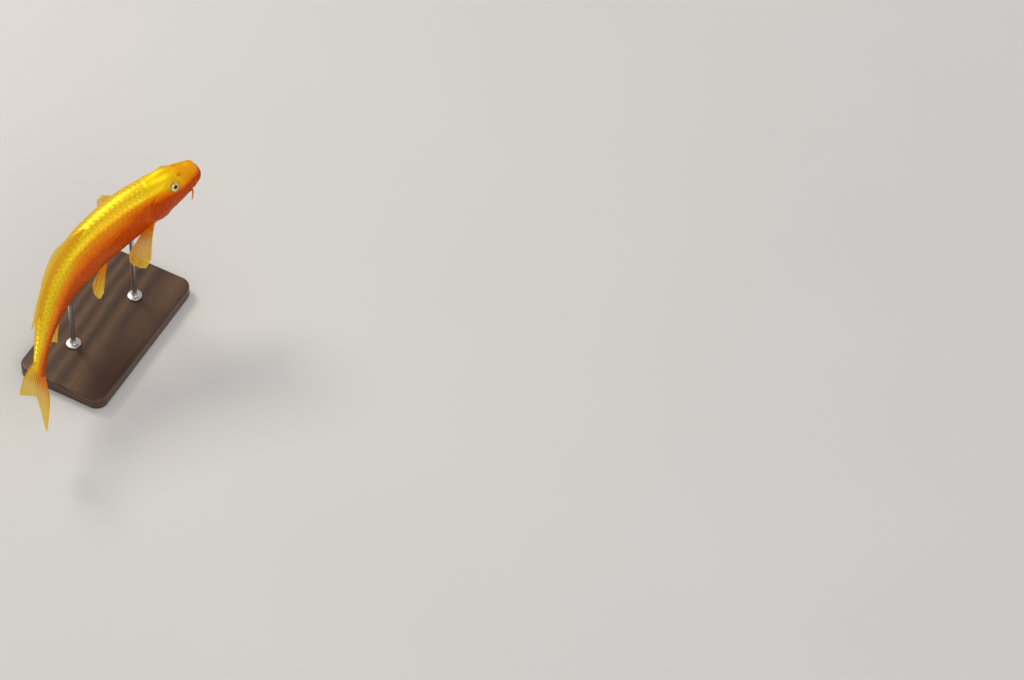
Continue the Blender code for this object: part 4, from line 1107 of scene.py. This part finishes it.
def paired_fin(spec, side, count, box, cols_per_ray, rows_n):
    t, angle, length, out, droop, lay, fan, root_wide, short, apart = spec
    across, up = section(np.array(t), np.array(side * angle))
    p, n, rear, down = frame_at(t, side * angle)
    _, forward, left = spine(np.array(t))
    outward_v, flat = side * left, -forward
    o, d = math.radians(out), math.radians(droop)
    lead = flat * math.cos(o) + (outward_v * math.cos(d) - UP * math.sin(d)) * math.sin(o)
    line = unit(rear + down * lay)
    inner = unit(line - lead * float(line @ lead))
    curve = np.cross(lead, inner)
    curve = curve * (1 if curve[2] > 0 else -1)
    r = np.linspace(0, 1, (count - 1) * cols_per_ray + 1)
    u = np.linspace(0, 1, rows_n)
    size = S * length * (1 - short * r**1.7) * (0.86 + 0.14 * step(r / 0.16)) * (1 - 0.10 * step((r - 0.80) / 0.20))
    size = size * margin(r, count, 0.018, side) * 0.992
    sink = 0.0040
    reach = -sink + (size[None, :] + sink) * (u**1.2)[:, None]
    root = p + line * ((r - 0.45) * root_wide)[:, None]
    span = min(math.radians(fan), math.acos(float(lead @ line)) - math.radians(apart)) * r
    way = lead * np.cos(span)[:, None] + inner * np.sin(span)[:, None]
    mid = root[None, :, :] + way[None, :, :] * reach[..., None]
    mid = mid - curve * (0.11 * np.maximum(reach, 0) ** 2 / (S * length))[..., None]
    mid = mid + curve * (0.10 * (r[None, :] - 0.45) ** 2 * np.maximum(reach, 0))[..., None]
    Rg, Ug = np.broadcast_to(r[None, :], mid.shape[:2]), np.broadcast_to((u**1.2)[:, None], mid.shape[:2])
    web(skin, mid, Rg, Ug, reach, count, box, 0.0015, 0.0055, lead=1.4, seed=1.0 + 0.2 * side, flush=0.9)


paired_fin(PECTORAL, 1, 16, (0.670, 0.265, 0.998, 0.390), 5, 26)
paired_fin(PECTORAL, -1, 16, (0.670, 0.135, 0.998, 0.260), 5, 26)
paired_fin(PELVIC, 1, 9, (0.670, 0.070, 0.832, 0.130), 5, 22)
paired_fin(PELVIC, -1, 9, (0.836, 0.070, 0.998, 0.130), 5, 22)


# ------------------------------------------------------------------ barbels
def barbel(t, angle, side, length, radius, box, rings=26, around=16):
    p, n, rear, down = frame_at(t, side * angle)
    s = np.linspace(0, 1, rings)[:, None]
    path = p - n * 0.0015 + n * length * (0.62 * s - 0.34 * s * s) + (rear * 0.62 - UP * 0.78) * length * (0.10 * s + 0.72 * s * s)
    way = unit(np.gradient(path, axis=0))
    one = unit(np.cross(way, n + rear * 0.3 + down * 0.9))
    two = np.cross(way, one)
    size = radius * (1.0 - 0.50 * s**1.4) * (1 + 0.9 * np.exp(-s / 0.09)) * (1 + 0.03 * np.sin(s * 40.0))
    size = size * np.sqrt(np.clip((1 - s) / 0.05, 0.02, 1))
    turn = np.arange(around) * 2 * math.pi / around
    g = path[:, None, :] + size[:, :, None] * (one[:, None, :] * np.cos(turn)[None, :, None] + two[:, None, :] * np.sin(turn)[None, :, None])
    f = grid_faces(rings, around, True)
    u0, v0, u1, v1 = box
    UU = np.repeat(np.linspace(u0, u1, rings)[:, None], around, 1)
    VV = np.repeat((v0 + (v1 - v0) * np.arange(around) / around)[None, :], rings, 0)
    uvb = grid_uv(rings, around, UU, VV, True, v1)
    pts = np.concatenate([g.reshape(-1, 3), [path[0], path[-1]]])
    j2 = np.arange(around)
    k2 = (j2 + 1) % around
    c1 = np.stack([np.full(around, len(pts) - 2), k2, j2, np.full(around, -1)], -1)
    c2 = np.stack([np.full(around, len(pts) - 1), (rings - 1) * around + j2, (rings - 1) * around + k2, np.full(around, -1)], -1)
    z = np.zeros((around, 4, 2))
    z1, z2 = z.copy(), z.copy()
    z1[:, :, 0], z2[:, :, 0] = u0, u1
    z1[:, :, 1] = z2[:, :, 1] = (v0 + (v1 - v0) * (j2 + 0.5) / around)[:, None]
    at = np.append(np.repeat(s.ravel(), around), [0, 1])
    add_closed(skin, pts, np.concatenate([f, c1, c2]), np.concatenate([uvb, z1, z2]), 0, tone=0.92 - 0.40 * at, warm=0.35 * (1 - at) + 0.05, head=1.0 - at)


for _side, _u in ((1, 0.672), (-1, 0.836)):
    barbel(0.026, 84.0, _side, 0.0095, 0.0009, (_u, 0.005, _u + 0.16, 0.030))
    barbel(0.058, 112.0, _side, 0.0185, 0.0013, (_u, 0.035, _u + 0.16, 0.064))

FLESH = [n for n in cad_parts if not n.startswith(("stand_", "eye_"))]
finish_piece(skin.make("koi_skin", [SKIN, FINS]), *FLESH, slot="skin")


# ------------------------------------------------------------------ eyes
def eyeball(side):
    ep, en, er, ed, ec = EYE_PLACE[side]
    # The pupil looks a little forward of square.
    gaze = unit(en - er * 0.14 + UP * 0.02)
    one = unit(np.cross(gaze, UP))
    up = np.cross(one, gaze)
    up = up * (1 if up[2] > 0 else -1)
    lat = np.concatenate([np.linspace(0, 60, 49), np.linspace(60, 112, 16)[1:]])
    turn = 72
    th, ph = np.meshgrid(np.radians(lat[1:]), np.arange(turn) * 2 * math.pi / turn, indexing="ij")
    deg = np.degrees(th)
    radius = EYE_RADIUS + 0.00028 * bell(deg, 26.0) - 0.00010 * bell(deg - 19.0, 3.0)
    way = np.cos(th)[..., None] * gaze + np.sin(th)[..., None] * (np.cos(ph)[..., None] * one + np.sin(ph)[..., None] * up)
    g = way * radius[..., None]
    pts = np.concatenate([g.reshape(-1, 3), [gaze * (EYE_RADIUS + 0.00028), gaze * EYE_RADIUS * math.cos(math.radians(112))]])
    # A fish's eye is flatter than a ball.
    pts = ec + pts - en * (0.105 * (pts @ en))[:, None]
    b = Build(("er", "ex", "ey"))
    rows_n = len(lat) - 1
    f = grid_faces(rows_n, turn, True)
    rr = deg / 112.0 * 0.48
    UU, VV = 0.5 + rr * np.cos(ph), 0.5 + rr * np.sin(ph)
    i, jj = np.meshgrid(np.arange(rows_n - 1), np.arange(turn), indexing="ij")
    kk = (jj + 1) % turn
    uvg = np.stack([np.stack([UU[i, jj], VV[i, jj]], -1), np.stack([UU[i, kk], VV[i, kk]], -1), np.stack([UU[i + 1, kk], VV[i + 1, kk]], -1), np.stack([UU[i + 1, jj], VV[i + 1, jj]], -1)], 2).reshape(-1, 4, 2)
    j2 = np.arange(turn)
    k2 = (j2 + 1) % turn
    c1 = np.stack([np.full(turn, len(pts) - 2), k2, j2, np.full(turn, -1)], -1)
    c2 = np.stack([np.full(turn, len(pts) - 1), (rows_n - 1) * turn + j2, (rows_n - 1) * turn + k2, np.full(turn, -1)], -1)
    z1 = np.zeros((turn, 4, 2))
    z1[:, 0] = 0.5
    z1[:, 1], z1[:, 2] = np.stack([UU[0, k2], VV[0, k2]], -1), np.stack([UU[0, j2], VV[0, j2]], -1)
    z2 = np.zeros((turn, 4, 2))
    z2[:, 0], z2[:, 1], z2[:, 2] = np.stack([UU[-1, j2], VV[-1, j2]], -1), np.stack([UU[-1, j2], VV[-1, j2]], -1), np.stack([UU[-1, k2], VV[-1, k2]], -1)
    er_a = np.append((deg / 52.0).ravel(), [0.0, 2.1])
    ex = np.append((np.cos(ph) * np.minimum(deg / 52.0, 1)).ravel(), [0, 0])
    ey = np.append((np.sin(ph) * np.minimum(deg / 52.0, 1)).ravel(), [0, 0])
    add_closed(b, pts, np.concatenate([f, c1, c2]), np.concatenate([uvg, z1, z2]), 0, er=er_a, ex=ex, ey=ey)
    word = "left" if side > 0 else "right"
    return finish_piece(b.make("eyeball_" + word, [EYES]), "eye_" + word, slot="eye")


eyeball(1)
eyeball(-1)

# ------------------------------------------------------------------ scales
rng = np.random.default_rng(20)


def pitch_along(t):
    """How far apart scales sit along the body, as a share of the standard length."""
    return smooth(t, (0.19, 0.26, 0.45, 0.70, 0.90, 1.02), (0.0182, 0.0214, 0.0232, 0.0226, 0.0202, 0.0174))


def pitch_across(t):
    return smooth(t, (0.19, 0.30, 0.50, 0.72, 0.88, 1.02), (0.0066, 0.0072, 0.0071, 0.0060, 0.0050, 0.0045))


def scale_end(w_share):
    """The scaled stalk ends in a shallow arc on the root of the tail fin."""
    return 1.018 - 0.009 * np.abs(w_share) ** 2


stops = [0.170]
while stops[-1] < 1.02:
    stops.append(stops[-1] + float(pitch_along(np.array(stops[-1]))))
stops = np.array(stops)

GRID = 9
g1 = np.sin(np.linspace(-1, 1, GRID) * math.pi / 2) * 0.35 + np.linspace(-1, 1, GRID) * 0.65
gy, gx = np.meshgrid(g1, g1, indexing="ij")
DX = gx * np.sqrt(1 - gy**2 / 2)
DY = gy * np.sqrt(1 - gx**2 / 2)
RIM = np.zeros((GRID, GRID), bool)
RIM[0], RIM[-1], RIM[:, 0], RIM[:, -1] = True, True, True, True
LENGTH_HALF, HEIGHT_HALF = 0.74, 0.86


def fin_root_gap(t, a):
    """True where a fin's root takes the place of scales."""
    return ((a < 5.0) & (t > DORSAL_FROM - 0.004) & (t < DORSAL_TO + 0.012)) | ((a > 175.0) & (t > ANAL_FROM - 0.004) & (t < ANAL_TO + 0.012))


def lay_scales(side):
    """Places of one flank's scales: place along, arc length from the lateral line, size factor, and whether it is on the line."""
    found = []
    for row in range(-20, 21):
        shift = 0.5 if row % 2 else 0.0
        for k in range(len(stops) - 1):
            t = stops[k] + shift * (stops[k + 1] - stops[k])
            h = float(pitch_across(np.array(t)))
            w = row * h
            top, low = float(reach_up(t)), float(reach_down(t))
            if w > top - 0.30 * h or w < -(low - 0.30 * h):
                continue
            a = float(angle_at(np.array([t]), np.array([w]))[0])
            if t < float(scale_start(np.array(a))) + 0.004 or t > float(scale_end(w / (top if w > 0 else low))):
                continue
            if fin_root_gap(t, a):
                continue
            found.append((t, w, 1.0, 1.0 if row == 0 else 0.0))
    if side > 0:
        # the row along the middle of the back, and the one along the belly, straddle both flanks
        for k in range(len(stops) - 1):
            for top_row in (True, False):
                t = stops[k] + 0.25 * (stops[k + 1] - stops[k])
                a = 0.0 if top_row else 180.0
                if t < float(scale_start(np.array(a))) + 0.003 or t > 0.998 or fin_root_gap(np.array(t), np.array(a)):
                    continue
                w = float(reach_up(t)) if top_row else -float(reach_down(t))
                found.append((t, w, 0.94, 0.0))
    return np.array(found)


def make_scales(side, name):
    spots = lay_scales(side)
    n = len(spots)
    t0, w0, big, line = spots.T
    L, H = pitch_along(t0), pitch_across(t0)
    jitter = rng.normal(0, 1, (n, 5))
    ident = rng.random(n)
    size_a = L * LENGTH_HALF * big * (1 + 0.025 * jitter[:, 0])
    size_w = H * HEIGHT_HALF * big * (1 + 0.025 * jitter[:, 1])
    turn = np.radians(1.6 * jitter[:, 2])
    x, y = DX[None], DY[None]
    xr = x * np.cos(turn)[:, None, None] - y * np.sin(turn)[:, None, None]
    yr = x * np.sin(turn)[:, None, None] + y * np.cos(turn)[:, None, None]
    # A fuller hind edge and a narrower root.
    yr = yr * (1.0 + 0.08 * xr)
    t = t0[:, None, None] + size_a[:, None, None] * xr
    w = w0[:, None, None] + size_w[:, None, None] * yr
    a = angle_at(np.clip(t, 0.101, 1.034), w)
    p, nrm = surf_n(np.clip(t, 0.1, 1.030), side * a)
    # Beyond the stalk's end a scale lies on the root of the tail fin.
    root_h, tip_h = -0.00076, -0.00001
    rise = root_h + (tip_h - root_h) * (x + 1) / 2
    camber = 0.00014 * (1 - y**2) - 0.00005 * (x**2)
    top = rise + camber + 0.00003 * jitter[:, 3][:, None, None]
    top = top - np.where(RIM, 0.00007, 0.0)[None]
    # the scales of the lateral line carry a low ridge along their middle
    tube = line[:, None, None] * 0.00022 * np.exp(-((y / 0.10) ** 2)) * step((x + 0.25) / 0.15) * step((0.72 - x) / 0.12)
    top = top + tube
    low = top - 0.00017 + np.where(RIM, 0.00007, 0.0)[None] - tube
    PT = p + nrm * top[..., None]
    PL = p + nrm * low[..., None]
    G = GRID * GRID
    points = np.stack([PT.reshape(n, G, 3), PL.reshape(n, G, 3)], 1).reshape(-1, 3)
    f1 = grid_faces(GRID, GRID)
    f2 = f1[:, ::-1] + G
    rim = [(0, j) for j in range(GRID)] + [(i, GRID - 1) for i in range(1, GRID)]
    rim += [(GRID - 1, j) for j in range(GRID - 2, -1, -1)] + [(i, 0) for i in range(GRID - 2, 0, -1)]
    rim = np.array([i * GRID + j for i, j in rim])
    nxt = np.roll(rim, -1)
    f3 = np.stack([nxt, rim, G + rim, G + nxt], -1)
    one = np.concatenate([f1, f2, f3])
    # Each scale's own patch at its place on a flat plan of the flank: place along by arc length up from the lateral line.
    u_c = 0.010 + 0.975 * (t0 - 0.185) / (1.03 - 0.185)
    v_c = 0.500 + w0 / 0.236
    u_h = 0.975 * L / (1.03 - 0.185) * 0.43
    v_h = H / 0.236 * 0.44
    pu, pv = DX.ravel() * 0.80 - 0.16, DY.ravel() * 0.96
    uv_top = np.stack([u_c[:, None] + u_h[:, None] * pu[None], v_c[:, None] + v_h[:, None] * pv[None]], -1)
    uv_low = np.stack([u_c[:, None] + u_h[:, None] * (0.84 + 0.12 * DX.ravel()[None]), v_c[:, None] + v_h[:, None] * pv[None] * 0.9], -1)
    both = np.concatenate([uv_top, uv_low], 1)
    corner = both[:, one]
    top_only = both[:, np.where(f3 >= G, f3 - G, f3)]
    corner[:, -len(f3):] = top_only
    faces_all = (one[None] + (np.arange(n) * 2 * G)[:, None, None]).reshape(-1, 4)
    b = Build(("tone", "warm", "lx", "ly", "ident"))
    # every scale is the same way out
    probe = points[: 2 * G]
    shift = probe.mean(0)
    if not outward(probe - shift, one):
        faces_all = faces_all[:, ::-1]
        corner = corner[:, :, ::-1]
    tone = tone_and_shade_of(t, side * a)
    tone2 = np.concatenate([tone.reshape(n, G)] * 2, 1).ravel()
    lx = np.broadcast_to(np.concatenate([DX.ravel()] * 2)[None], (n, 2 * G)).ravel()
    ly = np.broadcast_to(np.concatenate([DY.ravel()] * 2)[None], (n, 2 * G)).ravel()
    pore = line[:, None, None] * np.exp(-(((x - 0.62) / 0.10) ** 2) - ((y / 0.10) ** 2))
    warm2 = np.concatenate([np.broadcast_to(pore, t.shape).reshape(n, G)] * 2, 1).ravel()
    b.add(points, faces_all, corner.reshape(-1, 4, 2), 0, tone=tone2, warm=warm2, lx=lx, ly=ly, ident=np.repeat(ident, 2 * G))
    obj = b.make(name, [SCALES])
    return finish_piece(obj, slot="skin")


make_scales(1, "scales_left")
make_scales(-1, "scales_right")


# ------------------------------------------------------------------ the stand
def seat(t):
    """Where a rod's pad meets the belly: its height at the rod's middle, and how the belly rises along x and y there."""
    def under(dt, da):
        return posed(surf(np.array(t + dt), np.array(180.0 + da)))

    middle = under(0.0, 0.0)
    facing = np.cross(under(0.01, 0.0) - under(-0.01, 0.0), under(0.0, 8.0) - under(0.0, -8.0))
    slope = -facing[:2] / facing[2]
    near = [under(dt, da) for dt in np.linspace(-1, 1, 5) * 0.0078 / S for da in np.linspace(-16, 16, 5)]
    return min(p[2] - slope @ (p[:2] - middle[:2]) for p in near) - 0.0003, slope


def lathe(name, centre, profile, around, mat, slope=None, slope_from=0.0, slope_to=1.0):
    """A turned solid about a vertical axis: (radius, height) from the bottom up. Its top may follow a slope."""
    prof = np.array(profile)
    turn = np.arange(around) * 2 * math.pi / around
    g = np.stack([centre[0] + prof[:, 0][:, None] * np.cos(turn), centre[1] + prof[:, 0][:, None] * np.sin(turn), np.repeat(prof[:, 1][:, None], around, 1)], -1)
    if slope is not None:
        share = step((prof[:, 1] - slope_from) / (slope_to - slope_from))[:, None]
        g[..., 2] += share * ((g[..., 0] - centre[0]) * slope[0] + (g[..., 1] - centre[1]) * slope[1])
    f = grid_faces(len(prof), around, True)
    UU = np.repeat(np.linspace(0.02, 0.90, len(prof))[:, None], around, 1)
    VV = np.repeat((0.02 + 0.96 * np.arange(around) / around)[None, :], len(prof), 0)
    uvb = grid_uv(len(prof), around, UU, VV, True, 0.98)
    pts = np.concatenate([g.reshape(-1, 3), [[centre[0], centre[1], prof[0, 1]], [centre[0], centre[1], prof[-1, 1]]]])
    j2 = np.arange(around)
    k2 = (j2 + 1) % around
    c1 = np.stack([np.full(around, len(pts) - 2), k2, j2, np.full(around, -1)], -1)
    c2 = np.stack([np.full(around, len(pts) - 1), (len(prof) - 1) * around + j2, (len(prof) - 1) * around + k2, np.full(around, -1)], -1)
    z1, z2 = np.zeros((around, 4, 2)), np.zeros((around, 4, 2))
    for z, v0 in ((z1, 0.25), (z2, 0.75)):
        z[:, 0] = (0.95, v0)
        for q, js in ((1, k2 if v0 < 0.5 else j2), (2, j2 if v0 < 0.5 else k2)):
            z[:, q, 0] = 0.95 + 0.035 * np.cos(turn[js])
            z[:, q, 1] = v0 + 0.035 * np.sin(turn[js])
    b = Build(())
    add_closed(b, pts, np.concatenate([f, c1, c2]), np.concatenate([uvb, z1, z2]), 0)
    return b.make(name, [mat])


for word, place_t in (("front", 0.330), ("rear", 0.655)):
    lo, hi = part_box("stand_rod_" + word)
    cx, cy = (lo[0] + hi[0]) / 2, (lo[1] + hi[1]) / 2
    z0 = lo[2]
    z1, belly_rise = seat(place_t)
    foot, shank, pad = (hi[0] - lo[0]) / 2, 0.0032, 0.0060
    arc = np.linspace(0, math.pi / 2, 7)
    profile = [(foot * 0.2, z0), (foot - 0.0004, z0), (foot, z0 + 0.0004), (foot, z0 + 0.0018)]
    profile += [(foot - 0.0008 + 0.0008 * math.cos(a), z0 + 0.0018 + 0.0008 * math.sin(a)) for a in arc[1:]]
    profile += [(shank + 0.0030 - 0.0030 * math.sin(a), z0 + 0.0060 - 0.0030 * math.cos(a)) for a in arc]
    profile += [(shank, z0 + (z1 - z0) * q) for q in (0.25, 0.5, 0.75)]
    profile += [(shank, z1 - 0.0066)]
    profile += [(shank + (pad - shank) * step(np.array(q)), z1 - 0.0066 + 0.0044 * q) for q in np.linspace(0.15, 1, 6)]
    profile += [(pad, z1 - 0.0012), (pad - 0.0003, z1 - 0.0004), (pad - 0.0010, z1)]
    rod = lathe("stand_" + word + "_steel", (cx, cy), [(float(r), float(z)) for r, z in profile], 48, STEEL, belly_rise, z1 - 0.0062, z1 - 0.0022)
    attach(rod, "root")
    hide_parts("stand_rod_" + word)

lo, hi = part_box("stand_base")
bx, by = (lo[0] + hi[0]) / 2, (lo[1] + hi[1]) / 2
hx, hy, zt = (hi[0] - lo[0]) / 2, (hi[1] - lo[1]) / 2, hi[2]


def outline(inset_by, z):
    corner, per = 0.016 - inset_by, 12
    ring = []
    for sx, sy, start in ((1, 1, 0), (-1, 1, 90), (-1, -1, 180), (1, -1, 270)):
        for q in range(per + 1):
            a = math.radians(start + 90 * q / per)
            ring.append((bx + sx * (hx - 0.016) + corner * math.cos(a), by + sy * (hy - 0.016) + corner * math.sin(a), z))
    return np.array(ring)


soft = 0.0026
levels = [outline(0.0012, 0.0), outline(0.0003, 0.0006), outline(0.0, 0.0016)]
levels += [outline(0.0, z) for z in np.linspace(0.003, zt - soft, 5)]
levels += [outline(soft * (1 - math.cos(a)), zt - soft + soft * math.sin(a)) for a in np.linspace(0, math.pi / 2, 8)[1:]]
ring_n = len(levels[0])
rim, centre = levels[-1], np.array([bx, by, zt])
levels += [centre + (rim - centre) * q for q in (0.90, 0.70, 0.45, 0.2)]
G = np.stack(levels)
pts = np.concatenate([G.reshape(-1, 3), [[bx, by, 0.0], [bx, by, zt]]])
f = grid_faces(len(levels), ring_n, True)
peri = np.concatenate([[0], np.cumsum(np.linalg.norm(np.diff(np.vstack([G[3], G[3][:1]]), axis=0), axis=1))])
side_levels = len(levels) - 4
UU, VV = np.zeros(G.shape[:2]), np.zeros(G.shape[:2])
UU[:] = (0.02 + 0.96 * peri[:-1] / peri[-1])[None, :]
VV[:side_levels] = np.linspace(0.02, 0.14, side_levels)[:, None]
uvb = grid_uv(len(levels), ring_n, VV, UU, True, 0.98)[:, :, ::-1]
top_part = np.repeat(np.arange(len(levels) - 1) >= side_levels - 1, ring_n)
# the top of the slab is mapped flat
tx, ty = 0.05 + 0.90 * (pts[:, 0] - bx + hx) / (2 * hx), 0.20 + 0.45 * (pts[:, 1] - by + hy) / (2 * hy)
flat = np.stack([tx[f], ty[f]], -1)
uvb[top_part] = flat[top_part]
j2 = np.arange(ring_n)
k2 = (j2 + 1) % ring_n
c1 = np.stack([np.full(ring_n, len(pts) - 2), k2, j2, np.full(ring_n, -1)], -1)
c2 = np.stack([np.full(ring_n, len(pts) - 1), (len(levels) - 1) * ring_n + j2, (len(levels) - 1) * ring_n + k2, np.full(ring_n, -1)], -1)


def flat_uv(c, lift):
    safe = np.where(c >= 0, c, 0)
    return np.stack([tx[safe], ty[safe] + lift], -1)


base_build = Build(())
uv_c1, uv_c2 = flat_uv(c1, 0.0), flat_uv(c2, 0.0)
uv_c1[..., 1] = 0.68 + (uv_c1[..., 1] - 0.20) * 0.6
add_closed(base_build, pts, np.concatenate([f, c1, c2]), np.concatenate([uvb, uv_c1, uv_c2]), 0)
base = base_build.make("stand_slab", [WOOD])
base.data.set_sharp_from_angle(angle=math.radians(50))
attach(base, "root")
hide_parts("stand_base")

# ------------------------------------------------------------------ floor, light and camera
mesh = bpy.data.meshes.new("floor")
R = 40.0
mesh.from_pydata([(-R, -R, 0), (R, -R, 0), (R, R, 0), (-R, R, 0)], [], [(0, 1, 2, 3)])
mesh.materials.append(FLOOR)
floor = bpy.data.objects.new("floor", mesh)
bpy.context.scene.collection.objects.link(floor)

world = bpy.data.worlds.new("studio")
bpy.context.scene.world = world
world.use_nodes = True
bg = world.node_tree.nodes["Background"]
bg.inputs["Color"].default_value = (0.97, 0.98, 1.0, 1.0)
bg.inputs["Strength"].default_value = 0.54


def area(name, place, aim, size, power, colour):
    light = bpy.data.lights.new(name, "AREA")
    light.shape, light.size, light.energy, light.color = "DISK", size, power, colour
    o = bpy.data.objects.new(name, light)
    o.location = place
    o.rotation_mode = "QUATERNION"
    o.rotation_quaternion = (Vector(aim) - Vector(place)).to_track_quat("-Z", "Y")
    bpy.context.scene.collection.objects.link(o)
    return o


MIDDLE = Vector((0.03, 0.0, 0.14))
LOOK_AZ, LOOK_EL = -60.0, 50.0           # from which side the camera looks, as the pose and light were worked out


def around(az, el, far):
    """A place seen from the middle at a bearing in degrees to the right of where the camera stands, and a height."""
    a, e = math.radians(LOOK_AZ + az), math.radians(el)
    return MIDDLE + Vector((math.sin(a) * math.cos(e), -math.cos(a) * math.cos(e), math.sin(e))) * far


area("key", around(-140.0, 46.0, 2.2), MIDDLE, 0.80, 19.0, (1.0, 0.93, 0.80))
area("fill", around(24.0, 40.0, 3.0), MIDDLE, 2.2, 19.0, (1.0, 0.97, 0.93))
area("rim", around(120.0, 30.0, 2.6), MIDDLE, 1.2, 4.0, (1.0, 0.96, 0.90))

camera = bpy.data.cameras.new("camera")
cam = bpy.data.objects.new("camera", camera)
bpy.context.scene.collection.objects.link(cam)
# The long lens stands where the picture's own frame puts the fish: low left of the middle, seen from above its right side.
camera.lens, camera.sensor_width = 135.0, 36.0
CAMERA_AT, CAMERA_TURN, CAMERA_DOWN, CAMERA_ROLL = Vector((-2.5267, -1.7936, 3.8453)), -64.64, 50.97, 3.0
turn, down, roll = (math.radians(v) for v in (CAMERA_TURN, CAMERA_DOWN, CAMERA_ROLL))
ahead = Vector((-math.sin(turn) * math.cos(down), math.cos(turn) * math.cos(down), -math.sin(down)))
right = ahead.cross(Vector((0, 0, 1))).normalized()
above = right.cross(ahead)
right, above = right * math.cos(roll) + above * math.sin(roll), above * math.cos(roll) - right * math.sin(roll)
cam.location = CAMERA_AT
cam.rotation_mode = "QUATERNION"
cam.rotation_quaternion = Matrix((right, above, -ahead)).transposed().to_quaternion()
camera.clip_start, camera.clip_end = 0.05, 200.0
bpy.context.scene.camera = cam
view = bpy.context.scene.view_settings
view.view_transform, view.look, view.exposure, view.gamma = "Standard", "None", 0.0, 1.0

bpy.context.view_layer.update()
